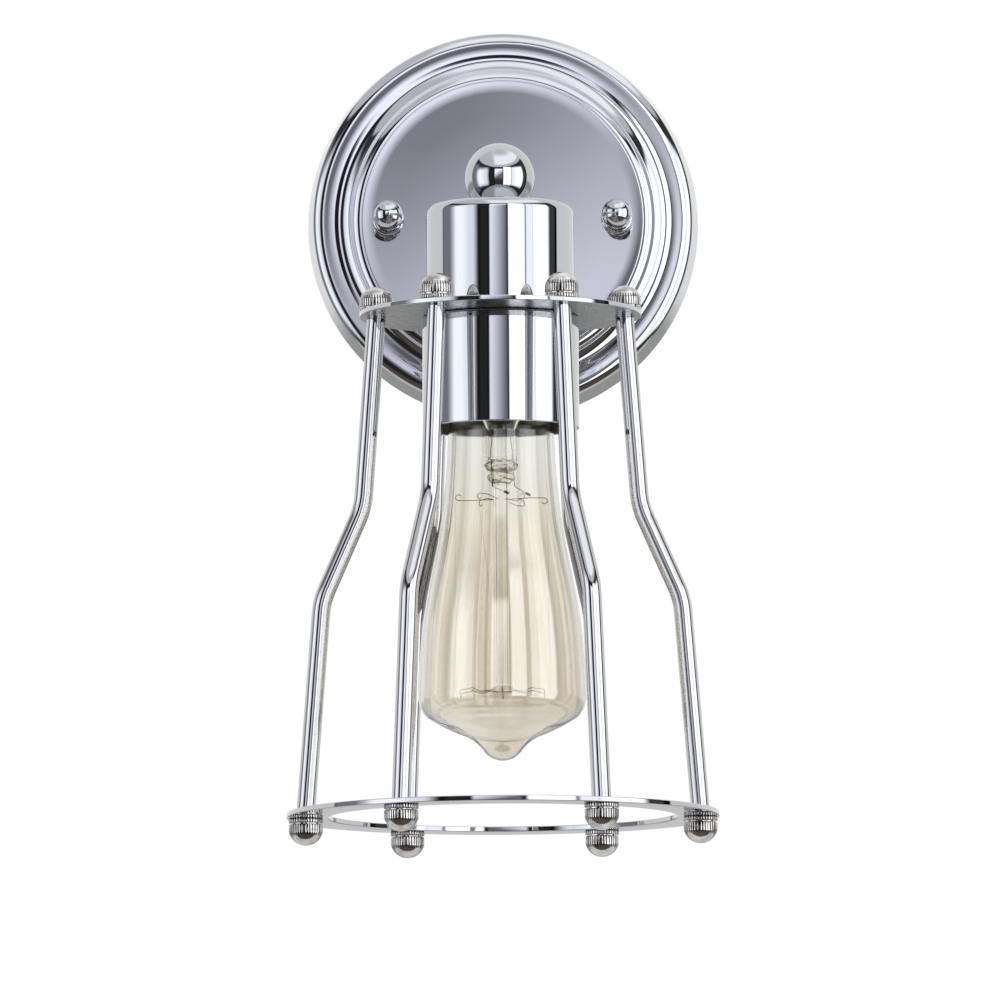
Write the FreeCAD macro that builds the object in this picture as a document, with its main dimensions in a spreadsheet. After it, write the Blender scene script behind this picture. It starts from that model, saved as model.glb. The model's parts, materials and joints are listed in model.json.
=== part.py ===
import FreeCAD, Part
import math
import os
from types import SimpleNamespace

import Sketcher

os.makedirs("parts", exist_ok=True)

# Frame: the origin is the centre of the canopy on the wall plane, +X to the right,
# +Z up, and the light stands out from the wall along -Y. All lengths are millimetres.

SIZES = [
    ("canopy_radius", 76.2, "outer edge of the canopy, on the wall"),
    ("canopy_side_height", 14.4, "side wall, from the wall plane to the shoulder"),
    ("canopy_side_draft", 2.3, "how much the side wall draws in"),
    ("canopy_wall", 1.0, "pressed sheet"),
    ("shoulder_width", 4.5, "rounded outer shoulder"),
    ("shoulder_rise", 2.2, ""),
    ("shoulder_round", 5.5, ""),
    ("cove_width", 5.3, "shallow cove inside the shoulder"),
    ("cove_rise", 0.2, ""),
    ("cove_round", 14.0, ""),
    ("step_width", 4.7, "hollow step up to the ledge"),
    ("step_rise", 2.0, ""),
    ("step_round", 6.5, ""),
    ("ledge_width", 1.5, "narrow flat ledge"),
    ("lip_width", 3.4, "rounded lip up to the flat disc"),
    ("lip_rise", 1.2, ""),
    ("lip_round", 5.3, ""),
    ("finial_spacing", 88.9, "between the two finials"),
    ("finial_ball_radius", 5.8, ""),
    ("finial_ball_reach", 16.3, "ball centre from the canopy's face"),
    ("finial_collar_radius", 6.2, ""),
    ("finial_collar_height", 2.4, ""),
    ("finial_neck_radius", 4.0, ""),
    ("finial_bore_depth", 10.0, ""),
    ("stud_radius", 2.0, "mounting studs"),
    ("stud_engagement", 8.5, "stud inside each finial"),
    ("stud_back", 0.3, "stud end short of the wall plane"),
    ("stud_hole_play", 0.4, "canopy hole over the stud"),
    ("screw_clearance", 0.05, "radial clearance of threads drawn plain"),
    ("bar_end", 9.55, "mounting bar, stud to the end of the bar"),
    ("bar_width", 19.0, ""),
    ("bar_thickness", 2.0, ""),
    ("slot_spacing", 69.85, "outlet box screws, centre to centre"),
    ("slot_length", 12.0, ""),
    ("slot_half_width", 2.4, ""),
    ("bar_centre_hole_radius", 5.4, ""),
    ("ground_offset", 17.0, "ground screw from the centre of the bar"),
    ("ground_shank_radius", 1.75, ""),
    ("ground_head_radius", 3.8, ""),
    ("ground_head_height", 2.2, ""),
    ("ground_slot_width", 1.0, ""),
    ("ground_slot_depth", 0.9, ""),
    ("stud_nut_flat_radius", 4.0, "hexagon, centre to corner"),
    ("stud_nut_height", 3.2, ""),
    ("arm_reach", 137.0, "wall plane to the axis of the shade cage"),
    ("arm_radius", 6.35, ""),
    ("nipple_radius", 4.95, "threaded tube"),
    ("nipple_bore_radius", 3.5, "wire way"),
    ("nipple_grip", 12.0, "thread inside the arm tube"),
    ("canopy_nipple_back", 9.0, "thread behind the canopy's sheet"),
    ("lock_washer_radius", 9.0, ""),
    ("lock_washer_height", 1.2, ""),
    ("locknut_corner_radius", 8.1, "hexagon, centre to corner"),
    ("locknut_height", 3.5, ""),
    ("ball_radius", 13.4, "elbow ball"),
    ("ball_flat", 10.3, "ball centre to each port's flat"),
    ("ball_port_depth", 5.0, "threaded port"),
    ("cup_radius", 27.95, "upper cup"),
    ("cup_height", 40.9, ""),
    ("cup_round", 3.8, ""),
    ("cup_wall", 1.2, ""),
    ("plate_radius", 53.3, "plate that carries the rods"),
    ("plate_margin", 6.4, "outer edge to the rods"),
    ("plate_thickness", 1.8, ""),
    ("sleeve_radius", 29.6, "socket sleeve"),
    ("sleeve_height", 42.6, ""),
    ("sleeve_round", 1.2, ""),
    ("sleeve_wall", 1.2, ""),
    ("ring_depth", 187.9, "plate's underside to the top of the ring"),
    ("ring_radius", 81.6, ""),
    ("ring_width", 15.9, "outer edge to the bore"),
    ("ring_margin", 7.3, "outer edge to the rods"),
    ("ring_thickness", 2.0, ""),
    ("rod_radius", 3.55, "cage rods"),
    ("rod_upper_spread", 5.4, "how far out the rod goes from the plate to the upper bend"),
    ("rod_lower_spread", 6.4, "and from the lower bend to the ring"),
    ("rod_upper_drop", 72.0, "upper bend below the plate"),
    ("rod_lower_drop", 107.4, "lower bend below the plate"),
    ("rod_bend_radius", 30.0, ""),
    ("rod_pin_radius", 2.0, "threaded rod ends"),
    ("rod_pin_grip", 5.5, "rod end inside each nut"),
    ("rod_hole_play", 0.2, ""),
    ("nut_radius", 6.5, "knurled dome nuts"),
    ("nut_flange_height", 2.1, ""),
    ("nut_groove_width", 0.6, ""),
    ("nut_knurl_height", 3.4, ""),
    ("nut_knurl_radius", 6.4, "tips of the knurl"),
    ("nut_root_radius", 6.1, "roots of the knurl, and the groove"),
    ("nut_dome_height", 3.9, ""),
    ("nut_bore_play", 0.6, "blind bore past the rod's end"),
    ("bracket_radius", 17.0, "socket bracket"),
    ("bracket_thickness", 1.2, ""),
    ("bracket_collar_radius", 7.5, ""),
    ("bracket_collar_height", 2.4, ""),
    ("bracket_screw_offset", 12.0, "socket screws from the axis"),
    ("socket_screw_radius", 1.45, ""),
    ("socket_screw_head_radius", 2.7, ""),
    ("socket_screw_head_height", 1.4, ""),
    ("socket_screw_grip", 3.2, "screw inside the porcelain"),
    ("socket_screw_hole_spare", 0.3, ""),
    ("socket_radius", 19.5, "porcelain body"),
    ("socket_height", 27.0, ""),
    ("socket_crown", 4.0, "solid top of the porcelain"),
    ("socket_round", 2.0, ""),
    ("shell_wall", 0.4, "screw shell"),
    ("shell_play", 0.1, "shell inside the porcelain"),
    ("shell_height", 20.0, ""),
    ("contact_width", 6.0, "centre contact, a bent strip in the socket"),
    ("contact_foot", 3.5, "flat part under the rivet"),
    ("contact_reach", 8.0, "rivet's end of the strip from the axis"),
    ("contact_tongue", 3.0, "flat end of the strip past the axis"),
    ("contact_drop", 2.2, "bulb's contact under the porcelain's crown"),
    ("contact_thickness", 0.5, ""),
    ("cap_radius", 13.0, "bulb cap"),
    ("cap_play", 0.3, "cap inside the screw shell"),
    ("cap_height", 21.0, ""),
    ("cap_wall", 0.3, ""),
    ("cap_shoulder", 2.6, "height of the cone at the cap's end"),
    ("cap_end_radius", 10.4, ""),
    ("insulator_height", 2.6, "glass insulator of the cap"),
    ("bulb_contact_radius", 4.6, ""),
    ("bulb_contact_height", 1.2, ""),
    ("neck_foot_radius", 12.6, "glass inside the cap's rim"),
    ("neck_round_height", 8.0, "glass, cap rim to the full neck"),
    ("neck_round", 8.0, ""),
    ("neck_radius", 20.0, ""),
    ("flare_height", 53.0, "hollow flare under the neck"),
    ("flare_radius", 26.4, ""),
    ("flare_round", 255.0, ""),
    ("belly_drop", 45.0, "flare's end to the widest circle"),
    ("belly_radius", 31.65, ""),
    ("belly_round", 216.0, ""),
    ("heel_height", 11.2, "widest circle to the end of the heel"),
    ("heel_radius", 26.6, ""),
    ("heel_round", 10.6, ""),
    ("crown_height", 6.3, "heel's end to the hollow round the tip"),
    ("crown_round", 60.0, ""),
    ("tip_hollow_radius", 13.5, ""),
    ("tip_hollow_height", 4.7, ""),
    ("tip_hollow_round", 19.0, ""),
    ("tip_radius", 7.6, "drawn tip of the glass"),
    ("tip_height", 4.3, ""),
    ("tip_cavity_radius", 6.4, "hollow inside the tip"),
    ("tip_cavity_depth", 3.1, ""),
    ("glass_wall", 0.9, ""),
    ("stem_play", 0.1, "stem's skirt inside the neck"),
    ("stem_radius", 6.0, "glass stem"),
    ("stem_skirt_height", 9.0, ""),
    ("stem_skirt_round", 8.6, ""),
    ("stem_length", 18.8, "cap rim to the pinch"),
    ("stem_wall", 1.0, ""),
    ("press_width", 12.0, "pinched end of the stem"),
    ("press_thickness", 4.6, ""),
    ("press_height", 8.8, ""),
    ("post_radius", 3.0, "glass post under the pinch"),
    ("post_length", 77.2, ""),
    ("hub_radius", 4.1, "button at the post's end"),
    ("hub_height", 2.2, ""),
    ("support_wire_radius", 0.25, "support wires"),
    ("upper_support_drop", 6.0, "pinch to the upper support wires"),
    ("upper_support_reach", 17.5, ""),
    ("lower_support_reach", 20.5, ""),
    ("filament_radius", 0.15, ""),
    ("filament_play", 0.05, "filament clear of what holds it"),
    ("filament_hook_half", 0.8, "half of the filament's run across a hook"),
    ("lead_radius", 0.35, "lead wires under the pinch"),
    ("left_lead_across", 3.4, "where each lead leaves the pinch"),
    ("left_lead_front", 1.5, ""),
    ("left_lead_bend_front", 4.3, ""),
    ("left_lead_end_across", 2.8, ""),
    ("right_lead_across", 5.0, ""),
    ("right_lead_end_across", 10.7, ""),
    ("right_lead_end_front", 1.4, ""),
    ("lead_bend_drop", 0.8, ""),
    ("lead_turn_drop", 1.5, ""),
    ("lead_end_drop", 4.6, ""),
]

ROD_COUNT = 6
KNURL_COUNT = 36
SUPPORT_COUNT = 6


class Length:
    """A number together with the spreadsheet formula that gives it."""

    def __init__(self, number, formula):
        self.number = number
        self.formula = formula

    def joined(self, sign, other, number):
        right = other.formula if isinstance(other, Length) else repr(other)
        return Length(number, "(%s %s %s)" % (self.formula, sign, right))

    def __add__(self, other):
        return self.joined("+", other, self.number + plain(other))

    def __sub__(self, other):
        return self.joined("-", other, self.number - plain(other))

    def __mul__(self, other):
        return self.joined("*", other, self.number * plain(other))

    def __truediv__(self, other):
        return self.joined("/", other, self.number / plain(other))

    def __neg__(self):
        return self * -1


def plain(value):
    return value.number if isinstance(value, Length) else value


doc = FreeCAD.newDocument("vanity_light")
sheet = doc.addObject("Spreadsheet::Sheet", "sizes")
for row, (name, number, note) in enumerate(SIZES, start=1):
    sheet.set("A%d" % row, name)
    sheet.set("B%d" % row, str(number))
    sheet.setAlias("B%d" % row, name)
    sheet.set("C%d" % row, note)
doc.recompute()

size = SimpleNamespace(**{name: Length(number, "sizes." + name) for name, number, note in SIZES})
ZERO = Length(0, "0")
pieces = []


def bind(item, prop, length):
    """Ties a property to the sheet."""
    item.setExpression(prop, length.formula)


def place(item, across=ZERO, out=ZERO, up=ZERO, facing_front=False, flipped=False, turn=0):
    """Puts a piece in the frame. Its own +Z points up, or to the front, or down if flipped."""
    rotation = FreeCAD.Rotation(FreeCAD.Vector(0, 0, 1), turn)
    if facing_front or flipped:
        tilt = 90 if facing_front else 180
        rotation = FreeCAD.Rotation(FreeCAD.Vector(1, 0, 0), tilt).multiply(rotation)
    item.Placement = FreeCAD.Placement(
        FreeCAD.Vector(across.number, -out.number, up.number), rotation)
    bind(item, ".Placement.Base.x", across)
    bind(item, ".Placement.Base.y", -out)
    bind(item, ".Placement.Base.z", up)


def new_body(label, **where):
    body = doc.addObject("PartDesign::Body", label)
    body.Label = label
    place(body, **where)
    pieces.append(body)
    return body


def sketch_on(body, role, name, lift=None):
    """A sketch on one of the body's own origin planes, or lifted off it."""
    sketch = body.newObject("Sketcher::SketchObject", name)
    plane = [item for item in body.Origin.OriginFeatures if item.Role == role][0]
    sketch.AttachmentSupport = [(plane, "")]
    sketch.MapMode = "FlatFace"
    if lift is not None:
        bind(sketch, ".AttachmentOffset.Base.z", lift)
    return sketch


def pin_point(sketch, geometry, end, x, y):
    """Fixes a sketch point by its two named distances from the origin."""
    for kind, length, axis in (("DistanceX", x, -2), ("DistanceY", y, -1)):
        if length.number == 0:
            sketch.addConstraint(Sketcher.Constraint("PointOnObject", geometry, end, axis))
        else:
            rule = Sketcher.Constraint(kind, -1, 1, geometry, end, length.number)
            index = sketch.addConstraint(rule)
            bind(sketch, "Constraints[%d]" % index, length)


def arc_between(start, end, radius):
    """The short arc from start to end. A positive radius turns left, a negative one right."""
    chord = end - start
    left = FreeCAD.Vector(-chord.y, chord.x, 0).normalize()
    height = math.sqrt(radius ** 2 - (chord.Length / 2) ** 2)
    centre = (start + end) / 2 + left * math.copysign(height, radius)
    first, last = (start, end) if radius > 0 else (end, start)
    angles = [math.atan2(point.y - centre.y, point.x - centre.x) for point in (first, last)]
    circle = Part.Circle(centre, FreeCAD.Vector(0, 0, 1), abs(radius))
    return Part.ArcOfCircle(circle, angles[0], angles[1])


def dome_round(base, height):
    """Radius of the round cap that has this base radius and this height."""
    return (base * base + height * height) / (height * 2)


def outline(sketch, points):
    """Draws a closed outline. A point is (x, y), or (x, y, radius) where an arc leads to it."""
    corners = [FreeCAD.Vector(point[0].number, point[1].number, 0) for point in points]
    ends = []
    for i in range(len(points)):
        after = (i + 1) % len(points)
        radius = points[after][2] if len(points[after]) > 2 else None
        if radius is None:
            geometry = sketch.addGeometry(Part.LineSegment(corners[i], corners[after]), False)
            ends.append((geometry, 1, 2))
        else:
            arc = arc_between(corners[i], corners[after], radius.number)
            geometry = sketch.addGeometry(arc, False)
            rule = Sketcher.Constraint("Radius", geometry, abs(radius.number))
            index = sketch.addConstraint(rule)
            bind(sketch, "Constraints[%d]" % index, radius if radius.number > 0 else -radius)
            ends.append((geometry, 1, 2) if radius.number > 0 else (geometry, 2, 1))
    for i in range(len(points)):
        geometry, first, last = ends[i]
        next_geometry, next_first, next_last = ends[(i + 1) % len(points)]
        rule = Sketcher.Constraint("Coincident", geometry, last, next_geometry, next_first)
        sketch.addConstraint(rule)
        pin_point(sketch, geometry, first, points[i][0], points[i][1])


def circle_on(sketch, x, y, radius):
    centre = FreeCAD.Vector(x.number, y.number, 0)
    circle = Part.Circle(centre, FreeCAD.Vector(0, 0, 1), radius.number)
    geometry = sketch.addGeometry(circle, False)
    index = sketch.addConstraint(Sketcher.Constraint("Radius", geometry, radius.number))
    bind(sketch, "Constraints[%d]" % index, radius)
    pin_point(sketch, geometry, 3, x, y)


def revolve(body, points, name="turned"):
    """Turns an outline of (radius, height) points about the body's own Z axis."""
    sketch = sketch_on(body, "XZ_Plane", name + "_outline")
    outline(sketch, points)
    turned = body.newObject("PartDesign::Revolution", name)
    turned.Profile = sketch
    turned.ReferenceAxis = (sketch, ["V_Axis"])
    turned.Angle = 360
    return turned


def pad(body, sketch, length, name="pad"):
    item = body.newObject("PartDesign::Pad", name)
    item.Profile = sketch
    bind(item, "Length", length)
    return item


def pocket(body, sketch, length, name="pocket"):
    """Cuts from the sketch along its plane's normal."""
    item = body.newObject("PartDesign::Pocket", name)
    item.Profile = sketch
    item.Reversed = True
    bind(item, "Length", length)
    return item


def pattern(body, features, sketch, count, name="pattern"):
    """Repeats features round the sketch's normal."""
    ring = body.newObject("PartDesign::PolarPattern", name)
    ring.Axis = (sketch, ["N_Axis"])
    ring.Angle = 360
    ring.Occurrences = count
    ring.Originals = features
    body.Tip = ring
    return ring


def rounded_bar(centre, half_length, half_width):
    """An outline with two straight sides and round ends, along X."""
    left, right = centre - half_length, centre + half_length
    return [
        (left + half_width, -half_width, half_width),
        (right - half_width, -half_width),
        (right, ZERO, half_width),
        (right - half_width, half_width, half_width),
        (left + half_width, half_width),
        (left, ZERO, half_width),
    ]


def hexagon(name, corner_radius, height, bore_radius, **where):
    """A plain hexagon nut as a prism with a bore."""
    prism = doc.addObject("Part::Prism", name + "_prism")
    prism.Polygon = 6
    bind(prism, "Circumradius", corner_radius)
    bind(prism, "Height", height)
    bore = doc.addObject("Part::Cylinder", name + "_bore")
    bind(bore, "Radius", bore_radius)
    bind(bore, "Height", height)
    nut = doc.addObject("Part::Cut", name)
    nut.Label = name
    nut.Base = prism
    nut.Tool = bore
    place(nut, **where)
    return nut


# Canopy heights from the wall plane and radii from the outside in
shoulder_top = size.canopy_side_height + size.shoulder_rise
cove_top = shoulder_top + size.cove_rise
ledge_top = cove_top + size.step_rise
canopy_face = ledge_top + size.lip_rise
side_top_radius = size.canopy_radius - size.canopy_side_draft
shoulder_radius = side_top_radius - size.shoulder_width
cove_radius = shoulder_radius - size.cove_width
step_radius = cove_radius - size.step_width
ledge_radius = step_radius - size.ledge_width
disc_radius = ledge_radius - size.lip_width
half_spacing = size.finial_spacing / 2
bar_half_length = half_spacing + size.bar_end
nipple_hole = size.nipple_radius + size.screw_clearance


def canopy():
    body = new_body("canopy", facing_front=True)
    wall = size.canopy_wall
    inner = [
        (disc_radius, canopy_face),
        (ledge_radius, ledge_top),
        (step_radius, ledge_top),
        (cove_radius, cove_top),
        (shoulder_radius, shoulder_top),
        (side_top_radius, size.canopy_side_height),
    ]
    points = [
        (size.canopy_radius, ZERO),
        (side_top_radius, size.canopy_side_height),
        (shoulder_radius, shoulder_top, size.shoulder_round),
        (cove_radius, cove_top, -size.cove_round),
        (step_radius, ledge_top, -size.step_round),
        (ledge_radius, ledge_top),
        (disc_radius, canopy_face, size.lip_round),
        (nipple_hole, canopy_face),
        (nipple_hole, canopy_face - wall),
    ]
    points += [(across - wall, up - wall) for across, up in inner]
    points.append((size.canopy_radius - wall, ZERO))
    revolve(body, points)
    holes = sketch_on(body, "XY_Plane", "stud_holes")
    for side in (-1, 1):
        circle_on(holes, half_spacing * side, ZERO, size.stud_radius + size.stud_hole_play)
    pocket(body, holes, canopy_face * 2)


def mounting_bar():
    body = new_body("mounting_bar", facing_front=True)
    shape = sketch_on(body, "XY_Plane", "bar_outline")
    outline(shape, rounded_bar(ZERO, bar_half_length, size.bar_width / 2))
    pad(body, shape, size.bar_thickness)
    cuts = sketch_on(body, "XY_Plane", "bar_cuts")
    circle_on(cuts, ZERO, ZERO, size.bar_centre_hole_radius)
    circle_on(cuts, size.ground_offset, ZERO, size.ground_shank_radius + size.screw_clearance)
    for side in (-1, 1):
        circle_on(cuts, half_spacing * side, ZERO, size.stud_radius + size.screw_clearance)
        slot_centre = size.slot_spacing / 2 * side
        outline(cuts, rounded_bar(slot_centre, size.slot_length / 2, size.slot_half_width))
    pocket(body, cuts, size.bar_thickness * 2)


def mounting_studs():
    body = new_body("mounting_studs", facing_front=True)
    ends = sketch_on(body, "XY_Plane", "stud_ends", lift=size.stud_back)
    for side in (-1, 1):
        circle_on(ends, half_spacing * side, ZERO, size.stud_radius)
    pad(body, ends, canopy_face + size.stud_engagement - size.stud_back)


def stud_nuts():
    bore = size.stud_radius + size.screw_clearance
    nuts = []
    for side, name in ((-1, "stud_nut_left"), (1, "stud_nut_right")):
        where = {"across": half_spacing * side, "out": size.bar_thickness, "facing_front": True}
        nut = hexagon(name, size.stud_nut_flat_radius, size.stud_nut_height, bore, **where)
        nuts.append(nut)
    group = doc.addObject("Part::Compound", "stud_nuts")
    group.Label = "stud_nuts"
    group.Links = nuts
    pieces.append(group)


def ground_screw():
    body = new_body("ground_screw", across=size.ground_offset, out=size.bar_thickness,
                    facing_front=True)
    shank, head = size.ground_shank_radius, size.ground_head_radius
    revolve(body, [
        (ZERO, -size.bar_thickness + size.stud_back),
        (shank, -size.bar_thickness + size.stud_back),
        (shank, ZERO),
        (head, ZERO),
        (head, size.ground_head_height),
        (ZERO, size.ground_head_height),
    ])
    slot = sketch_on(body, "XY_Plane", "slot", lift=size.ground_head_height - size.ground_slot_depth)
    half = size.ground_slot_width / 2
    outline(slot, [(-head, -half), (head, -half), (head, half), (-head, half)])
    pocket(body, slot, size.ground_slot_depth * 2)


def finial(label, side):
    body = new_body(label, across=half_spacing * side, out=canopy_face, facing_front=True)
    neck, ball, reach = size.finial_neck_radius, size.finial_ball_radius, size.finial_ball_reach
    number = math.sqrt(ball.number ** 2 - neck.number ** 2)
    formula = "sqrt(%s ^ 2 - %s ^ 2)" % (ball.formula, neck.formula)
    neck_top = reach - Length(number, formula)
    bore = size.stud_radius + size.screw_clearance
    round_over = size.finial_collar_height / 2
    revolve(body, [
        (bore, ZERO),
        (size.finial_collar_radius, ZERO),
        (size.finial_collar_radius, round_over),
        (size.finial_collar_radius - round_over, size.finial_collar_height, round_over),
        (neck, size.finial_collar_height),
        (neck, neck_top),
        (ball, reach, ball),
        (ZERO, reach + ball, ball),
        (ZERO, size.finial_bore_depth),
        (bore, size.finial_bore_depth),
    ])


def tube(label, outer, inner, length, **where):
    body = new_body(label, **where)
    revolve(body, [(inner, ZERO), (outer, ZERO), (outer, length), (inner, length)])


arm_length = size.arm_reach - canopy_face - size.ball_flat


def arm():
    """The arm tube, its two threaded ends and what fastens it behind the canopy's sheet."""
    bore = size.nipple_bore_radius
    tube("arm_tube", size.arm_radius, nipple_hole, arm_length, out=canopy_face, facing_front=True)
    back = canopy_face - size.canopy_wall - size.canopy_nipple_back
    tube("canopy_nipple", size.nipple_radius, bore, canopy_face + size.nipple_grip - back,
         out=back, facing_front=True)
    tube("ball_nipple", size.nipple_radius, bore, size.nipple_grip + size.ball_port_depth,
         out=canopy_face + arm_length - size.nipple_grip, facing_front=True)
    washer_back = canopy_face - size.canopy_wall - size.lock_washer_height
    tube("arm_lock_washer", size.lock_washer_radius, nipple_hole, size.lock_washer_height,
         out=washer_back, facing_front=True)
    nut = hexagon("arm_locknut", size.locknut_corner_radius, size.locknut_height, nipple_hole,
                  out=washer_back - size.locknut_height, facing_front=True)
    pieces.append(nut)


def elbow_ball():
    """A ball with two flat threaded ports, one to the arm and one down to the cup."""
    ball = doc.addObject("Part::Sphere", "ball_blank")
    bind(ball, "Radius", size.ball_radius)
    tools = []
    for name, down in (("port_down", True), ("port_back", False)):
        flat = doc.addObject("Part::Cylinder", name + "_flat")
        port = doc.addObject("Part::Cylinder", name + "_thread")
        way = doc.addObject("Part::Cylinder", name + "_wire_way")
        bind(flat, "Radius", size.ball_radius)
        bind(flat, "Height", size.ball_radius)
        bind(port, "Radius", nipple_hole)
        bind(port, "Height", size.ball_radius)
        bind(way, "Radius", size.nipple_bore_radius)
        bind(way, "Height", size.ball_radius)
        for item, start in ((flat, size.ball_flat), (port, size.ball_flat - size.ball_port_depth),
                            (way, ZERO)):
            direction = FreeCAD.Vector(0, 0, -1) if down else FreeCAD.Vector(0, 1, 0)
            item.Placement.Rotation = FreeCAD.Rotation(FreeCAD.Vector(0, 0, 1), direction)
            if down:
                bind(item, ".Placement.Base.z", -start)
            else:
                bind(item, ".Placement.Base.y", start)
            tools.append(item)
    cutters = doc.addObject("Part::MultiFuse", "port_cutters")
    cutters.Shapes = tools
    body = doc.addObject("Part::Cut", "elbow_ball")
    body.Label = "elbow_ball"
    body.Base = ball
    body.Tool = cutters
    place(body, out=size.arm_reach)
    pieces.append(body)


# Heights on the cage axis, from the top down
cup_top = -size.ball_flat
plate_top = cup_top - size.cup_height
plate_under = plate_top - size.plate_thickness
sleeve_ceiling = plate_under - size.sleeve_wall
sleeve_rim = plate_under - size.sleeve_height
bracket_top = sleeve_ceiling - size.bracket_collar_height
socket_top = bracket_top - size.bracket_thickness
ring_top = plate_under - size.ring_depth
ring_under = ring_top - size.ring_thickness
nipple_end = sleeve_ceiling - size.bracket_collar_height

# The cage's four reaches, from its axis to the middle of a rod
rod_top_reach = size.plate_radius - size.plate_margin
rod_foot_reach = size.ring_radius - size.ring_margin
rod_upper_reach = rod_top_reach + size.rod_upper_spread
rod_lower_reach = rod_foot_reach - size.rod_lower_spread


def cup_and_sleeve():
    """Two turned cups, one above the plate and one below it, both open downwards."""
    cup = new_body("upper_cup", out=size.arm_reach, up=plate_top)
    wall, height, outer = size.cup_wall, size.cup_height, size.cup_radius
    inner_round = size.cup_round - wall
    revolve(cup, [
        (outer - wall, ZERO),
        (outer, ZERO),
        (outer, height - size.cup_round),
        (outer - size.cup_round, height, size.cup_round),
        (nipple_hole, height),
        (nipple_hole, height - wall),
        (outer - size.cup_round, height - wall),
        (outer - wall, height - size.cup_round, -inner_round),
    ])
    sleeve = new_body("socket_sleeve", out=size.arm_reach, up=sleeve_rim)
    wall, height, outer = size.sleeve_wall, size.sleeve_height, size.sleeve_radius
    revolve(sleeve, [
        (outer - wall, ZERO),
        (outer, ZERO),
        (outer, height - size.sleeve_round),
        (outer - size.sleeve_round, height, size.sleeve_round),
        (nipple_hole, height),
        (nipple_hole, height - wall),
        (outer - wall, height - wall),
    ])


def drop_nipple():
    start = cup_top + size.ball_port_depth
    tube("drop_nipple", size.nipple_radius, size.nipple_bore_radius, start - nipple_end,
         out=size.arm_reach, up=nipple_end)


def rod_plate(label, outer, bore, thickness, reach, up):
    """A flat disc or ring with a hole for the end of each rod."""
    body = new_body(label, out=size.arm_reach, up=up)
    tube_points = [(bore, ZERO), (outer, ZERO), (outer, thickness), (bore, thickness)]
    revolve(body, tube_points)
    hole = sketch_on(body, "XY_Plane", "rod_hole")
    circle_on(hole, reach, ZERO, size.rod_pin_radius + size.rod_hole_play)
    drilled = pocket(body, hole, thickness * 2)
    pattern(body, [drilled], hole, ROD_COUNT)


def cage_plates():
    rod_plate("cage_plate", size.plate_radius, nipple_hole, size.plate_thickness,
              rod_top_reach, plate_under)
    rod_plate("bottom_ring", size.ring_radius, size.ring_radius - size.ring_width,
              size.ring_thickness, rod_foot_reach, ring_under)


def rod_line(sketch):
    """The bent centreline: three straight runs joined by two arcs tangent to them."""
    reaches = [rod_top_reach, rod_upper_reach, rod_lower_reach, rod_foot_reach]
    heights = [size.ring_depth, size.ring_depth - size.rod_upper_drop,
               size.ring_depth - size.rod_lower_drop, ZERO]
    corners = [FreeCAD.Vector(across.number, up.number, 0)
               for across, up in zip(reaches, heights)]
    steps = [(corners[i + 1] - corners[i]).normalize() for i in range(3)]
    radius = size.rod_bend_radius.number
    starts, ends, arcs = [corners[0]], [], []
    for i in (1, 2):
        turn = steps[i - 1].getAngle(steps[i])
        reach = radius * math.tan(turn / 2)
        before, after = corners[i] - steps[i - 1] * reach, corners[i] + steps[i] * reach
        ends.append(before)
        starts.append(after)
        side = math.copysign(radius, steps[i - 1].cross(steps[i]).z)
        arcs.append((arc_between(before, after, side), side > 0))
    ends.append(corners[3])
    runs = []
    for i in range(3):
        runs.append(sketch.addGeometry(Part.LineSegment(starts[i], ends[i]), False))
        if i < 2:
            arc, turns_left = arcs[i]
            bend = sketch.addGeometry(arc, False)
            arcs[i] = (bend, 1 if turns_left else 2, 2 if turns_left else 1)
    for i, (bend, first, last) in enumerate(arcs):
        rules = [
            Sketcher.Constraint("Tangent", runs[i], 2, bend, first),
            Sketcher.Constraint("Tangent", bend, last, runs[i + 1], 1),
        ]
        for rule in rules:
            sketch.addConstraint(rule)
        index = sketch.addConstraint(Sketcher.Constraint("Radius", bend, radius))
        bind(sketch, "Constraints[%d]" % index, size.rod_bend_radius)
        corner = sketch.addGeometry(Part.Point(corners[i + 1]), True)
        pin_point(sketch, corner, 1, reaches[i + 1], heights[i + 1])
        for run in (runs[i], runs[i + 1]):
            sketch.addConstraint(Sketcher.Constraint("PointOnObject", corner, 1, run))
    pin_point(sketch, runs[0], 1, reaches[0], heights[0])
    pin_point(sketch, runs[2], 2, reaches[3], heights[3])


def cage_rod(label, turn):
    """A bent rod between the plate and the ring, with a thinner threaded end at each."""
    body = new_body(label, out=size.arm_reach, up=ring_top, turn=turn)
    line = sketch_on(body, "XZ_Plane", "rod_line")
    rod_line(line)
    section = sketch_on(body, "XY_Plane", "rod_section", lift=size.ring_depth)
    circle_on(section, rod_top_reach, ZERO, size.rod_radius)
    swept = body.newObject("PartDesign::AdditivePipe", "rod")
    swept.Profile = section
    swept.Spine = (line, [])
    top = sketch_on(body, "XY_Plane", "top_pin_end", lift=size.ring_depth - size.rod_radius)
    circle_on(top, rod_top_reach, ZERO, size.rod_pin_radius)
    pad(body, top, size.rod_radius + size.plate_thickness + size.rod_pin_grip, "top_pin")
    foot_start = size.ring_thickness + size.rod_pin_grip
    foot = sketch_on(body, "XY_Plane", "foot_pin_end", lift=-foot_start)
    circle_on(foot, rod_foot_reach, ZERO, size.rod_pin_radius)
    pad(body, foot, foot_start + size.rod_radius, "foot_pin")


def cage_rods():
    names = ["rod_right", "rod_back_right", "rod_back_left", "rod_left", "rod_front_left",
             "rod_front_right"]
    for i, name in enumerate(names):
        cage_rod(name, 360 / ROD_COUNT * i)


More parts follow.
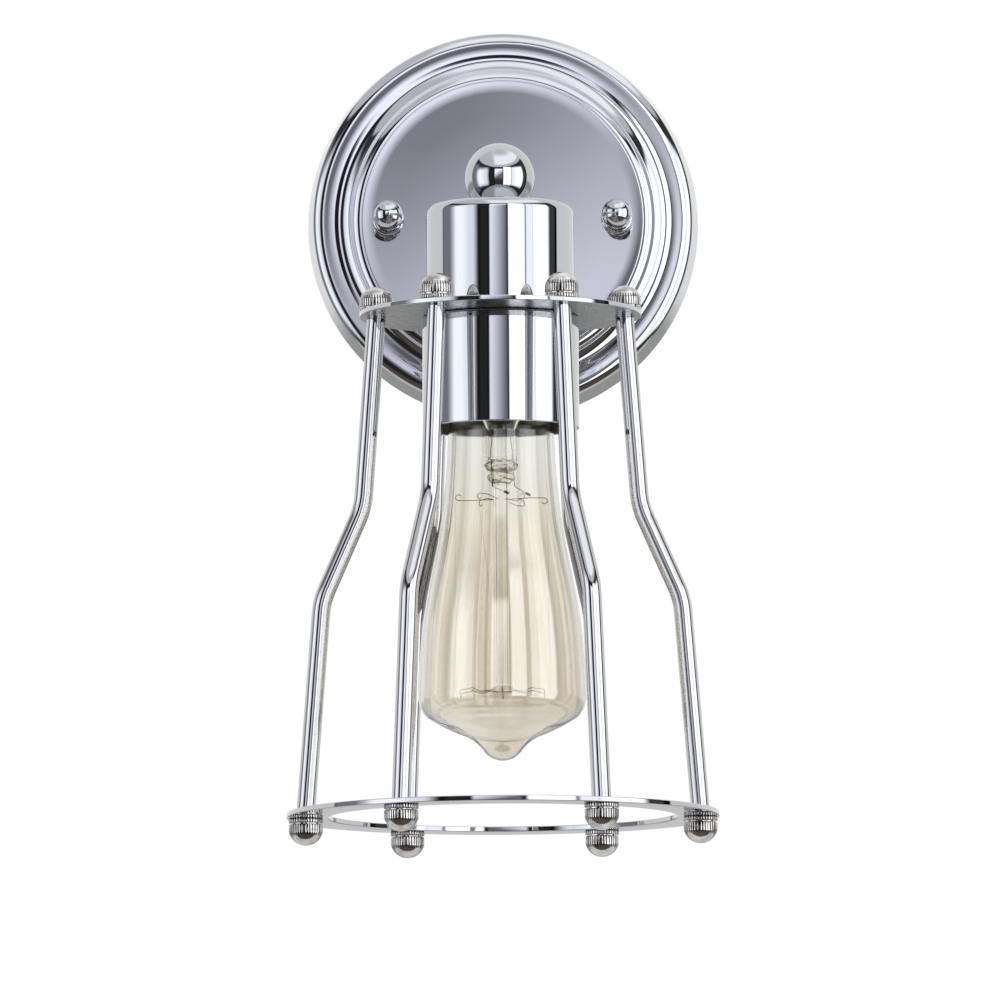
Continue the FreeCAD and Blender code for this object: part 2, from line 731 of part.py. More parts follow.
def star(teeth, tip, root):
    """A toothed outline: points on a tip circle and a root circle in turn."""
    points = []
    for i in range(2 * teeth):
        angle = math.pi * i / teeth
        radius = root if i % 2 else tip
        points.append((radius * math.cos(angle), radius * math.sin(angle)))
    return points


def knurled_nuts(label, reach, up, flipped):
    """Dome nuts on the rod ends: flange, groove, knurled band and dome over a blind bore."""
    body = new_body(label, out=size.arm_reach, up=up, flipped=flipped)
    knurl_foot = size.nut_flange_height + size.nut_groove_width
    knurl_top = knurl_foot + size.nut_knurl_height
    outer, root = size.nut_radius, size.nut_root_radius
    blank_outline = sketch_on(body, "XZ_Plane", "blank_outline")
    outline(blank_outline, [
        (reach, ZERO),
        (reach + outer, ZERO),
        (reach + outer, size.nut_flange_height),
        (reach + root, size.nut_flange_height),
        (reach + root, knurl_top),
        (reach + outer, knurl_top),
        (reach, knurl_top + size.nut_dome_height, dome_round(outer, size.nut_dome_height)),
    ])
    axis = blank_outline.addGeometry(
        Part.LineSegment(FreeCAD.Vector(reach.number, 0, 0),
                         FreeCAD.Vector(reach.number, outer.number, 0)), True)
    pin_point(blank_outline, axis, 1, reach, ZERO)
    pin_point(blank_outline, axis, 2, reach, outer)
    blank = body.newObject("PartDesign::Revolution", "blank")
    blank.Profile = blank_outline
    blank.ReferenceAxis = (blank_outline, ["Axis0"])
    blank.Angle = 360
    teeth = sketch_on(body, "XY_Plane", "teeth", lift=knurl_foot)
    outline(teeth, [(reach + across, up) for across, up in
                    star(KNURL_COUNT, size.nut_knurl_radius, root)])
    knurl = pad(body, teeth, size.nut_knurl_height, "knurl")
    bore = sketch_on(body, "XY_Plane", "bore")
    circle_on(bore, reach, ZERO, size.rod_pin_radius + size.screw_clearance)
    drilled = pocket(body, bore, size.rod_pin_grip + size.nut_bore_play)
    cage_axis = sketch_on(body, "XY_Plane", "cage_axis")
    circle_on(cage_axis, ZERO, ZERO, reach)
    pattern(body, [blank, knurl, drilled], cage_axis, ROD_COUNT)


def all_nuts():
    knurled_nuts("top_nuts", rod_top_reach, plate_top, False)
    knurled_nuts("bottom_nuts", rod_foot_reach, ring_under, True)


# Radii from the bulb's cap outwards, and heights of the socket and the bulb
shell_bore = size.cap_radius + size.cap_play
shell_outer = shell_bore + size.shell_wall
socket_bore = shell_outer + size.shell_play
socket_rim = socket_top - size.socket_height
crown_under = socket_top - size.socket_crown
bulb_top = crown_under - size.contact_drop
cap_rim = bulb_top - size.bulb_contact_height - size.insulator_height - size.cap_height
neck_bore = size.neck_foot_radius - size.glass_wall


def socket_bracket():
    body = new_body("socket_bracket", out=size.arm_reach, up=socket_top)
    top = size.bracket_thickness + size.bracket_collar_height
    revolve(body, [
        (nipple_hole, ZERO),
        (size.bracket_radius, ZERO),
        (size.bracket_radius, size.bracket_thickness),
        (size.bracket_collar_radius, size.bracket_thickness),
        (size.bracket_collar_radius, top),
        (nipple_hole, top),
    ])
    hole = sketch_on(body, "XY_Plane", "screw_hole")
    radius = size.socket_screw_radius + size.screw_clearance
    circle_on(hole, size.bracket_screw_offset, ZERO, radius)
    drilled = pocket(body, hole, size.bracket_thickness * 2)
    pattern(body, [drilled], hole, 2)


def socket_screws():
    body = new_body("socket_screws", out=size.arm_reach, up=bracket_top)
    depth = size.bracket_thickness + size.socket_screw_grip
    shank = sketch_on(body, "XY_Plane", "shank", lift=-depth)
    circle_on(shank, size.bracket_screw_offset, ZERO, size.socket_screw_radius)
    screw = pad(body, shank, depth, "screw")
    top = sketch_on(body, "XY_Plane", "head_outline")
    circle_on(top, size.bracket_screw_offset, ZERO, size.socket_screw_head_radius)
    head = pad(body, top, size.socket_screw_head_height, "head")
    pattern(body, [screw, head], top, 2)


def socket_body():
    """The porcelain: a thick cup, open downwards, with two blind screw holes in its crown."""
    body = new_body("socket_body", out=size.arm_reach, up=socket_rim)
    outer, height = size.socket_radius, size.socket_height
    ceiling = height - size.socket_crown
    revolve(body, [
        (socket_bore, ZERO),
        (outer - size.socket_round, ZERO),
        (outer, size.socket_round, size.socket_round),
        (outer, height - size.socket_round),
        (outer - size.socket_round, height, size.socket_round),
        (ZERO, height),
        (ZERO, ceiling),
        (socket_bore, ceiling),
    ])
    depth = size.socket_screw_grip + size.socket_screw_hole_spare
    hole = sketch_on(body, "XY_Plane", "screw_hole", lift=height - depth)
    radius = size.socket_screw_radius + size.screw_clearance
    circle_on(hole, size.bracket_screw_offset, ZERO, radius)
    drilled = pocket(body, hole, depth * 2)
    pattern(body, [drilled], hole, 2)


def socket_shell():
    tube("socket_shell", shell_outer, shell_bore, size.shell_height, out=size.arm_reach,
         up=crown_under - size.shell_height)


def socket_contact():
    """A bent strip: flat under the crown, sloping down, flat again on the bulb's contact."""
    body = new_body("socket_contact", out=size.arm_reach, up=crown_under)
    side = sketch_on(body, "XZ_Plane", "strip_side", lift=-size.contact_width / 2)
    reach, foot, tongue = size.contact_reach, size.contact_foot, size.contact_tongue
    thick, drop = size.contact_thickness, size.contact_drop
    outline(side, [
        (-reach, -thick),
        (-reach + foot, -thick),
        (-tongue, -drop),
        (tongue, -drop),
        (tongue, -drop + thick),
        (-tongue, -drop + thick),
        (-reach + foot, ZERO),
        (-reach, ZERO),
    ])
    pad(body, side, size.contact_width)


def bulb_cap():
    """The bulb's metal cap, its glass insulator and the contact at its end."""
    cap = new_body("bulb_cap", out=size.arm_reach, up=cap_rim)
    outer, wall, height = size.cap_radius, size.cap_wall, size.cap_height
    cone = height - size.cap_shoulder
    revolve(cap, [
        (outer - wall, ZERO),
        (outer, ZERO),
        (outer, cone),
        (size.cap_end_radius, height),
        (size.cap_end_radius - wall, height),
        (size.cap_end_radius - wall, height - wall),
        (outer - wall, cone - wall),
    ])
    insulator = new_body("bulb_insulator", out=size.arm_reach, up=cap_rim + height)
    revolve(insulator, [
        (ZERO, ZERO),
        (size.cap_end_radius, ZERO),
        (size.bulb_contact_radius, size.insulator_height),
        (ZERO, size.insulator_height),
    ])
    contact = new_body("bulb_contact", out=size.arm_reach,
                       up=cap_rim + height + size.insulator_height)
    base, rise = size.bulb_contact_radius, size.bulb_contact_height
    revolve(contact, [(ZERO, ZERO), (base, ZERO), (ZERO, rise, dome_round(base, rise))])


def bulb_glass():
    """The blown envelope, one wall thick from the cap's rim to its drawn tip."""
    body = new_body("bulb_glass", out=size.arm_reach, up=cap_rim)
    wall = size.glass_wall
    neck_z = -size.neck_round_height
    flare_z = neck_z - size.flare_height
    belly_z = flare_z - size.belly_drop
    heel_z = belly_z - size.heel_height
    crown_z = heel_z - size.crown_height
    tip_z = crown_z - size.tip_hollow_height
    cavity_z = crown_z - size.tip_cavity_depth
    revolve(body, [
        (size.neck_foot_radius, ZERO),
        (size.neck_radius, neck_z, -size.neck_round),
        (size.flare_radius, flare_z, size.flare_round),
        (size.belly_radius, belly_z, -size.belly_round),
        (size.heel_radius, heel_z, -size.heel_round),
        (size.tip_hollow_radius, crown_z, -size.crown_round),
        (size.tip_radius, tip_z, size.tip_hollow_round),
        (ZERO, tip_z - size.tip_height, -dome_round(size.tip_radius, size.tip_height)),
        (ZERO, cavity_z),
        (size.tip_cavity_radius, cavity_z),
        (size.tip_hollow_radius - wall / 2, crown_z + wall, -size.tip_hollow_round),
        (size.heel_radius - wall / 2, heel_z + wall, size.crown_round),
        (size.belly_radius - wall, belly_z, size.heel_round - wall),
        (size.flare_radius - wall, flare_z, size.belly_round),
        (size.neck_radius - wall, neck_z, -size.flare_round),
        (neck_bore, ZERO, size.neck_round - wall),
    ])


press_under = cap_rim - size.stem_length - size.press_height
post_end = press_under - size.post_length


def bulb_stem():
    """The flared tube fused into the neck, pinched flat at its end, and the post under it."""
    stem = new_body("bulb_stem", out=size.arm_reach, up=cap_rim)
    wall, radius = size.stem_wall, size.stem_radius
    skirt = neck_bore - size.stem_play
    skirt_z = -size.stem_skirt_height
    pinch = -size.stem_length
    revolve(stem, [
        (skirt - wall, ZERO),
        (radius - wall, skirt_z, size.stem_skirt_round),
        (radius - wall, pinch + wall),
        (ZERO, pinch + wall),
        (ZERO, pinch),
        (radius, pinch),
        (radius, skirt_z),
        (skirt, ZERO, -size.stem_skirt_round),
    ])
    lift = pinch - size.press_height
    press = sketch_on(stem, "XY_Plane", "press", lift=lift)
    half, thin = size.press_width / 2, size.press_thickness / 2
    outline(press, [(-half, -thin), (half, -thin), (half, thin), (-half, thin)])
    pad(stem, press, size.press_height)
    post = new_body("bulb_post", out=size.arm_reach, up=post_end)
    revolve(post, [
        (ZERO, -size.hub_height),
        (size.hub_radius, -size.hub_height),
        (size.hub_radius, ZERO),
        (size.post_radius, ZERO),
        (size.post_radius, size.post_length),
        (ZERO, size.post_length),
    ])


def supports(label, start, reach, up, turn):
    """Thin wires that stand out from the post like spokes."""
    body = new_body(label, out=size.arm_reach, up=up, turn=turn)
    section = sketch_on(body, "YZ_Plane", "wire_section", lift=start)
    circle_on(section, ZERO, ZERO, size.support_wire_radius)
    spoke = pad(body, section, reach - start, "spoke")
    around = sketch_on(body, "XY_Plane", "post_section")
    circle_on(around, ZERO, ZERO, start)
    pattern(body, [spoke], around, SUPPORT_COUNT)


upper_support_up = press_under - size.upper_support_drop
lower_support_up = post_end - size.hub_height / 2
half_step = 180 / SUPPORT_COUNT


def bulb_supports():
    supports("bulb_upper_supports", size.post_radius, size.upper_support_reach,
             upper_support_up, 0)
    supports("bulb_lower_supports", size.hub_radius, size.lower_support_reach,
             lower_support_up, half_step)


def wires(label, runs, radius):
    """A node of wires that bend in space, each a solid of its own along its points."""
    solids = []
    for points in runs:
        path = Part.makePolygon(points)
        circle = Part.makeCircle(radius.number, points[0], points[1] - points[0])
        solids.append(path.makePipeShell([Part.Wire(circle)], True, False, 1))
    node = doc.addObject("Part::Feature", label)
    node.Label = label
    node.Shape = solids[0] if len(solids) == 1 else Part.makeCompound(solids)
    place(node, out=size.arm_reach, up=press_under)
    pieces.append(node)


def point(across, front, drop):
    """A point by its distances to the right, to the front and under the pinch."""
    return FreeCAD.Vector(across.number, -front.number, -drop.number)


def hook(reach, drop, angle):
    """Where the filament crosses the end of a support wire: two points side by side."""
    turn = math.radians(angle)
    middle = FreeCAD.Vector(math.cos(turn), math.sin(turn), 0) * reach
    side = FreeCAD.Vector(-math.sin(turn), math.cos(turn), 0) * size.filament_hook_half.number
    level = FreeCAD.Vector(0, 0, -drop)
    return [middle - side + level, middle + side + level]


def bulb_wires():
    """The two lead wires, and the filament strung from one to the other over the supports."""
    left = [
        point(-size.left_lead_across, size.left_lead_front, ZERO),
        point(-size.left_lead_across, size.left_lead_front, size.lead_bend_drop),
        point(-size.left_lead_across, size.left_lead_bend_front, size.lead_turn_drop),
        point(size.left_lead_end_across, size.left_lead_bend_front, size.lead_end_drop),
    ]
    right = [
        point(size.right_lead_across, ZERO, ZERO),
        point(size.right_lead_across, ZERO, size.lead_bend_drop),
        point(size.right_lead_end_across, size.right_lead_end_front, size.lead_end_drop),
    ]
    wires("bulb_leads", [left, right], size.lead_radius)
    gap = size.filament_radius + size.filament_play
    end_drop = size.lead_end_drop + size.lead_radius + gap
    path = [point(size.right_lead_end_across, size.right_lead_end_front, end_drop)]
    for i in range(SUPPORT_COUNT):
        low = (size.lower_support_reach + gap, press_under - lower_support_up)
        high = (size.upper_support_reach + gap, size.upper_support_drop)
        path += hook(low[0].number, low[1].number, half_step * (2 * i - 1))
        path += hook(high[0].number, high[1].number, half_step * 2 * i)
    path.append(point(size.left_lead_end_across, size.left_lead_bend_front, end_drop))
    wires("bulb_filament", [path], size.filament_radius)


def build():
    canopy()
    mounting_bar()
    mounting_studs()
    stud_nuts()
    ground_screw()
    finial("finial_left", -1)
    finial("finial_right", 1)
    arm()
    elbow_ball()
    cup_and_sleeve()
    drop_nipple()
    cage_plates()
    cage_rods()
    all_nuts()
    socket_bracket()
    socket_screws()
    socket_body()
    socket_shell()
    socket_contact()
    bulb_cap()
    bulb_glass()
    bulb_stem()
    bulb_supports()
    bulb_wires()
    doc.recompute()


def check_and_export():
    """Refuses a failed object or an invalid piece, then writes one file for each piece."""
    for item in doc.Objects:
        if "Invalid" in item.State or "Error" in item.State:
            raise RuntimeError("%s did not build: %s" % (item.Name, item.State))
    for piece in pieces:
        shape = piece.Shape
        if shape.isNull() or not shape.isValid() or not shape.Solids:
            raise RuntimeError("%s has no valid solid" % piece.Label)
    for piece in pieces:
        piece.Shape.exportStep("parts/%s.step" % piece.Label)
        print(piece.Label, len(piece.Shape.Solids), round(piece.Shape.Volume, 1))


build()
check_and_export()
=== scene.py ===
import json
import math

import bpy
from mathutils import Matrix, Vector


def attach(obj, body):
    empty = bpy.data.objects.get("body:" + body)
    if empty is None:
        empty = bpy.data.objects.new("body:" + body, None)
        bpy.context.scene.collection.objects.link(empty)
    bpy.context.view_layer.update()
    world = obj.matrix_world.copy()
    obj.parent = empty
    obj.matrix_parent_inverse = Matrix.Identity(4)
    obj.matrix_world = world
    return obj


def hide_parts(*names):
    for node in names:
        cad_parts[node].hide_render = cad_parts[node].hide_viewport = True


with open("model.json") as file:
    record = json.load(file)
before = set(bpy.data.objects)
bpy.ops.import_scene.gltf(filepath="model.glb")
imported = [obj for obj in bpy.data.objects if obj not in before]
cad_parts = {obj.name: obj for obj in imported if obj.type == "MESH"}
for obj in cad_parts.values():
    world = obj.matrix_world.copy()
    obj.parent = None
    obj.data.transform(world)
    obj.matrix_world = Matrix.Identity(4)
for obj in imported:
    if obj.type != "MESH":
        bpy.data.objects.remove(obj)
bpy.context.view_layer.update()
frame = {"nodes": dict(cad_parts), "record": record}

# The origin is the centre of the canopy on the wall plane, +X to the right and +Z up, and the
# light stands out from the wall along -Y. Lengths below are in millimetres.
MM = 0.001
WELD = 0.000002  # metres

CAGE_OUT = 137.0
CANOPY_FACE = 20.0
FINIAL_ASIDE = 44.45
BALL_RADIUS = 13.4
BALL_FLAT = 10.3
PLATE_TOP = -51.2
PLATE_UNDER = -53.0
SLEEVE_RIM = -95.6
CAP_RIM = -88.8
PINCH_UNDER = -116.4
POST_END = -193.6
RING_TOP = -240.9
RING_UNDER = -242.9

CAGE_AXIS = Vector((0.0, -CAGE_OUT * MM, 0.0))
RODS = 6
ROD_TOP_REACH = 46.9
ROD_UPPER_REACH = 52.3
ROD_LOWER_REACH = 67.9
ROD_FOOT_REACH = 74.3
ROD_UPPER_DROP = 72.0
ROD_LOWER_DROP = 107.4
ROD_BEND = 30.0
ROD_RADIUS = 3.55
ROD_SIDES = 40


# ---------------------------------------------------------------- finishes

def linear(code):
    """An sRGB hex colour as the linear values that shaders take."""
    values = []
    for i in (1, 3, 5):
        part = int(code[i:i + 2], 16) / 255
        values.append(part / 12.92 if part <= 0.04045 else ((part + 0.055) / 1.055) ** 2.4)
    return (*values, 1.0)


def add_node(tree, kind, inputs=None, **settings):
    """Adds a node. Each input is a plain value or the output of another node."""
    item = tree.nodes.new(kind)
    for key, value in settings.items():
        setattr(item, key, value)
    for key, value in (inputs or {}).items():
        if isinstance(value, bpy.types.NodeSocket):
            tree.links.new(value, item.inputs[key])
        else:
            item.inputs[key].default_value = value
    return item


def new_finish(name, **values):
    """A node material: its tree, its Principled shader and the Object coordinates."""
    finish = bpy.data.materials.new(name)
    finish.use_nodes = True
    tree = finish.node_tree
    tree.nodes.clear()
    inputs = {key.replace("_", " "): value for key, value in values.items()}
    shader = add_node(tree, "ShaderNodeBsdfPrincipled", inputs)
    add_node(tree, "ShaderNodeOutputMaterial", {"Surface": shader.outputs["BSDF"]})
    place = add_node(tree, "ShaderNodeTexCoord").outputs["Object"]
    return finish, tree, shader, place


def blotches(tree, place, millimetres, detail=3.0):
    """Soft patches of about this size."""
    return add_node(tree, "ShaderNodeTexNoise", {
        "Vector": place, "Scale": 1000.0 / millimetres, "Detail": detail}).outputs["Fac"]


def between(tree, factor, low, high):
    """Spreads a noise pattern, which keeps to about 0.3 to 0.7, over a range."""
    return add_node(tree, "ShaderNodeMapRange", {
        "Value": factor, "From Min": 0.3, "From Max": 0.7, "To Min": low, "To Max": high,
    }).outputs["Result"]


def soft_step(tree, value, start, end, low=0.0, high=1.0):
    """Low before start and high after end, with a soft change between."""
    return add_node(tree, "ShaderNodeMapRange", {
        "Value": value, "From Min": start, "From Max": end, "To Min": low, "To Max": high},
        interpolation_type="SMOOTHSTEP").outputs["Result"]


def layer(tree, below, mask, colour):
    """Lays a colour over what is below it, where the mask is 1."""
    mix = add_node(tree, "ShaderNodeMix", {"Factor": mask}, data_type="RGBA")
    for side, value in (("A", below), ("B", colour)):
        if isinstance(value, bpy.types.NodeSocket):
            tree.links.new(value, mix.inputs[side])
        else:
            mix.inputs[side].default_value = value
    return mix.outputs["Result"]


def tint(tree, shader, factor, low, high):
    """Colours a surface between two hex colours by a pattern."""
    colour = layer(tree, linear(low), factor, linear(high))
    tree.links.new(colour, shader.inputs["Base Color"])


def relief(tree, shader, height, depth):
    """Bumps a surface by a pattern, with its depth in millimetres."""
    bump = add_node(tree, "ShaderNodeBump", {
        "Height": height, "Strength": 1.0, "Distance": depth * MM})
    tree.links.new(bump.outputs["Normal"], shader.inputs["Normal"])


def roughen(tree, shader, factor, low, high):
    """Makes a surface sharper or hazier by a pattern."""
    tree.links.new(between(tree, factor, low, high), shader.inputs["Roughness"])


def let_through(tree, shader, share, colour="#FFFFFF"):
    """Makes a surface fully clear for a share of what meets it."""
    clear_part = add_node(tree, "ShaderNodeBsdfTransparent", {"Color": linear(colour)})
    mix = add_node(tree, "ShaderNodeMixShader", {
        0: share, 1: shader.outputs["BSDF"], 2: clear_part.outputs["BSDF"]})
    output = [item for item in tree.nodes if item.type == "OUTPUT_MATERIAL"][0]
    tree.links.new(mix.outputs["Shader"], output.inputs["Surface"])


def let_lamps_through(tree, shader, colour):
    """Clear glass throws almost no shadow, so lamps reach what stands inside it."""
    path = add_node(tree, "ShaderNodeLightPath").outputs["Is Shadow Ray"]
    let_through(tree, shader, path, colour)


def patchy(name, colours, tone, haze, bumps=None, **values):
    """A finish in two tones, hazier in some patches and, with bumps, slightly uneven.

    tone is the size in millimetres and the detail of the patches of colour. haze has its own
    size and detail, then the lowest and highest roughness. bumps ends with a depth.
    """
    finish, tree, shader, place = new_finish(name, **values)
    tint(tree, shader, blotches(tree, place, *tone), *colours)
    size, detail, low, high = haze
    roughen(tree, shader, blotches(tree, place, size, detail), low, high)
    if bumps:
        size, detail, depth = bumps
        relief(tree, shader, blotches(tree, place, size, detail), depth)
    return finish


def nickel_plate():
    """Turned brass under bright nickel: a slightly warm mirror with greasy patches."""
    finish, tree, shader, place = new_finish("bright_nickel_plate", Metallic=1.0)
    patches = between(tree, blotches(tree, place, 5.0, 4.0), 0.0, 1.0)
    tint(tree, shader, patches, "#A19D98", "#ECEBE8")
    roughen(tree, shader, blotches(tree, place, 2.5, 5.0), 0.04, 0.08)
    return finish


def drawn_bar_plate():
    """Chrome over drawn steel bar: less blue than on the buffed sheet, faint draw lines."""
    finish, tree, shader, place = new_finish("plated_drawn_bar", Metallic=1.0)
    tint(tree, shader, blotches(tree, place, 30.0), "#BCBCBD", "#C9C9CA")
    # real draw lines are finer than the render shows, so these are drawn 0.6 mm apart
    drawn = add_node(tree, "ShaderNodeMapping", {"Vector": place, "Scale": (1.0, 1.0, 0.02)})
    roughen(tree, shader, blotches(tree, drawn.outputs["Vector"], 0.6, 3.0), 0.015, 0.035)
    return finish


def amber_glass():
    """Blown soda-lime glass under a thin amber lustre, which mirrors more than bare glass."""
    finish, tree, shader, place = new_finish(
        "lustred_blown_glass", Roughness=0.0, IOR=1.48, Transmission_Weight=1.0,
        Coat_Roughness=0.02, Coat_IOR=1.8)
    # the lustre is thin at the neck, and ran down in soft streaks of about 12 mm
    height = add_node(tree, "ShaderNodeSeparateXYZ", {"Vector": place}).outputs["Z"]
    lower = soft_step(tree, height, -0.1, -0.145)
    thick = layer(tree, linear("#E8E7E1"), lower, linear("#E7E1D2"))
    thin = layer(tree, linear("#F2F2EE"), lower, linear("#F3F0E7"))
    drawn = add_node(tree, "ShaderNodeMapping", {"Vector": place, "Scale": (1.0, 1.0, 0.08)})
    streaks = between(tree, blotches(tree, drawn.outputs["Vector"], 12.0, 1.0), 0.0, 1.0)
    tree.links.new(layer(tree, thick, streaks, thin), shader.inputs["Base Color"])
    coat = soft_step(tree, height, -0.12, -0.165, 0.12, 1.0)
    tree.links.new(coat, shader.inputs["Coat Weight"])
    let_lamps_through(tree, shader, "#F6F3E9")
    return finish


def clear_glass():
    """The stem and post are drawn clear glass tube and rod."""
    finish, tree, shader, place = new_finish(
        "drawn_clear_glass", Roughness=0.0, IOR=1.5, Transmission_Weight=1.0)
    tint(tree, shader, blotches(tree, place, 10.0), "#FAF9F6", "#FEFEFC")
    let_lamps_through(tree, shader, "#F2F1ED")
    return finish


def pinched_glass():
    """Where the tube was pinched hot round the leads the clear glass is left creased."""
    finish, tree, shader, place = new_finish(
        "pinched_glass", Roughness=0.0, IOR=1.5, Transmission_Weight=1.0)
    tint(tree, shader, blotches(tree, place, 3.0, 4.0), "#E9E2C8", "#FBFAF4")
    relief(tree, shader, blotches(tree, place, 1.4, 1.0), 0.3)
    let_lamps_through(tree, shader, "#F6F2E8")
    return finish


FINISHES = {
    # buffed steel under bright nickel and chrome: a cool mirror, a little hazy where handled
    "chrome_plate": patchy(
        "buffed_chrome_plate", ("#BEC0C4", "#C6C8CB"), (45.0, 3.0), (18.0, 5.0, 0.025, 0.05),
        Metallic=1.0),
    "nickel_plate": nickel_plate(),
    # pressed steel under bright zinc: grey, slightly blue, with cloudy patches
    "zinc_plate": patchy(
        "bright_zinc_plate", ("#A9AEB3", "#C3C5C4"), (7.0, 6.0), (3.0, 6.0, 0.24, 0.42),
        (1.2, 6.0, 0.02), Metallic=1.0),
    # the earthing screw's zinc is dyed green
    "green_screw": patchy(
        "green_dyed_zinc", ("#2F6B3C", "#4E8C57"), (2.0, 5.0), (1.0, 5.0, 0.28, 0.4),
        Metallic=1.0),
    # fired porcelain under clear glaze: white, glossy and slightly uneven
    "porcelain": patchy(
        "glazed_porcelain", ("#E9E6DE", "#F2F0EA"), (8.0, 4.0), (4.0, 3.0, 0.12, 0.2),
        (6.0, 3.0, 0.08), IOR=1.52),
    # the screw shell is thin rolled sheet, pressed and left bare
    "shell_metal": patchy(
        "pressed_aluminium", ("#C9C7C1", "#D8D6D0"), (5.0, 4.0), (2.0, 6.0, 0.22, 0.34),
        Metallic=1.0),
    # the centre contact is a strip of rolled brass with darker handling marks
    "contact_brass": patchy(
        "spring_brass", ("#B8924A", "#D9B868"), (3.0, 5.0), (1.5, 5.0, 0.2, 0.34), Metallic=1.0),
    # the bulb's cap is pressed brass, lacquered and slightly dull
    "cap_brass": patchy(
        "pressed_cap_brass", ("#B99A5C", "#D3B577"), (4.0, 5.0), (2.0, 5.0, 0.18, 0.3),
        Metallic=1.0),
    # the cap's insulator is black vitrite, a glass with a fired gloss
    "cap_insulator": patchy(
        "black_vitrite", ("#0D0D10", "#1A1A1E"), (2.0, 3.0), (1.0, 5.0, 0.1, 0.22), IOR=1.6),
    # a drop of tin solder, wiped and slightly grainy
    "solder": patchy(
        "wiped_solder", ("#A3A39F", "#BDBDB8"), (1.5, 5.0), (0.8, 5.0, 0.3, 0.45),
        (0.9, 5.0, 0.04), Metallic=1.0),
    "bulb_envelope": amber_glass(),
    "clear_glass": clear_glass(),
    # drawn molybdenum and tungsten wire: dark grey and slightly marked
    "fine_wire": patchy(
        "drawn_wire", ("#2E2C2A", "#484542"), (1.0, 5.0), (0.6, 5.0, 0.25, 0.4), Metallic=1.0),
}
DRAWN_BAR = drawn_bar_plate()
# the plate's underside is plated but not buffed, so it mirrors in a soft grey blur; its darker
# grey is painted shade
SHADED_SATIN = patchy(
    "unbuffed_chrome_painted_shade", ("#97989C", "#B4B5B8"), (30.0, 3.0), (2.5, 6.0, 0.22, 0.4),
    Metallic=1.0)
# plating stays thin and polish collects in the knurl's grooves; their dark colour is also painted
# shade, where light is trapped in the grooves
POLISH_AND_PAINTED_SHADE = patchy(
    "polish_and_painted_knurl_shade", ("#4A4641", "#77726B"), (1.5, 4.0), (0.8, 4.0, 0.25, 0.45),
    Metallic=1.0)
# plating hardly reaches into a deep drawn cup, so its inside stays dull grey steel; its darker
# tone is painted shade
SHADED_INSIDE = patchy(
    "thin_plate_and_painted_shade_inside", ("#76736E", "#89857F"), (9.0, 4.0), (3.0, 5.0, 0.5, 0.62),
    Metallic=1.0)
PINCHED = pinched_glass()


def dress_cad_nodes():
    """Gives each CAD node the finish of its own slot."""
    for entry in frame["record"]["subparts"]:
        item = frame["nodes"][entry["node"]]
        for spot in item.material_slots:
            spot.material = FINISHES[entry["material_slot"]]


# ---------------------------------------------------------------- modelling

def clear():
    bpy.ops.object.select_all(action="DESELECT")


def pick(piece):
    """Makes a piece the only selected object, and the active one."""
    clear()
    piece.select_set(True)
    bpy.context.view_layer.objects.active = piece


def edit():
    bpy.ops.object.mode_set(mode="EDIT")
    bpy.ops.mesh.select_mode(type="VERT")


def leave():
    bpy.ops.object.mode_set(mode="OBJECT")


def select_mesh():
    bpy.ops.mesh.select_all(action="SELECT")


def extrude(way):
    """Pushes the selected part of a mesh out by a vector in metres."""
    bpy.ops.mesh.extrude_region_move(TRANSFORM_OT_translate={"value": way})


def choose(piece, test):
    """Selects in edit mode the vertices that pass a test."""
    edit()
    bpy.ops.mesh.select_all(action="DESELECT")
    leave()
    for item in piece.data.vertices:
        item.select = test(item)
    bpy.ops.object.mode_set(mode="EDIT")


def weld(piece, open_sides=0):
    """Joins doubled points, fills open ends of up to so many sides, and leaves edit mode."""
    select_mesh()
    bpy.ops.mesh.remove_doubles(threshold=WELD)
    if open_sides:
        bpy.ops.mesh.fill_holes(sides=open_sides)
    bpy.ops.mesh.normals_make_consistent(inside=False)
    leave()
    settle(piece)


def along_arc(start, end, radius):
    """Points after start along the short arc to end. A positive radius turns left."""
    chord = end - start
    half = chord.length / 2
    left = Vector((-chord.y, chord.x)).normalized()
    height = math.sqrt(max(radius ** 2 - half ** 2, 0.0))
    centre = (start + end) / 2 + left * math.copysign(height, radius)
    sweep = 2 * math.asin(min(half / abs(radius), 1.0)) * math.copysign(1, radius)
    count = max(5, math.ceil(abs(math.degrees(sweep)) / 5))
    arm = start - centre
    points = []
    for i in range(1, count + 1):
        turn = Matrix.Rotation(sweep * i / count, 2)
        points.append(centre + turn @ arm)
    return points


def profile_points(profile):
    """A turned outline as points. (r, h) is joined by a line, (r, h, radius) by an arc."""
    points = [Vector(profile[0][:2])]
    for step in profile[1:]:
        end = Vector(step[:2])
        if len(step) == 3:
            points += along_arc(points[-1], end, step[2])
        else:
            points.append(end)
    return points


WAYS = {"up": Vector((0, 0, 1)), "down": Vector((0, 0, -1)), "front": Vector((0, -1, 0))}


def turned(profile, across=0.0, out=0.0, up=0.0, way="up", steps=144):
    """Draws the outline of (radius, height) steps and spins it round its own axis."""
    base = Vector((across, -out, up)) * MM
    rise = WAYS[way] * MM
    points = [base + Vector((point.x * MM, 0, 0)) + rise * point.y
              for point in profile_points(profile)]
    clear()
    bpy.ops.mesh.primitive_plane_add(size=MM, location=points[0])
    piece = bpy.context.object
    edit()
    select_mesh()
    bpy.ops.mesh.merge(type="CENTER")
    for before, after in zip(points, points[1:]):
        extrude(after - before)
    select_mesh()
    bpy.ops.mesh.spin(steps=steps, angle=math.tau, center=base, axis=WAYS[way])
    weld(piece)
    return piece


def settle(piece):
    """Puts the object at the origin, with its place in its mesh."""
    pick(piece)
    bpy.ops.object.transform_apply(location=True, rotation=True, scale=True)


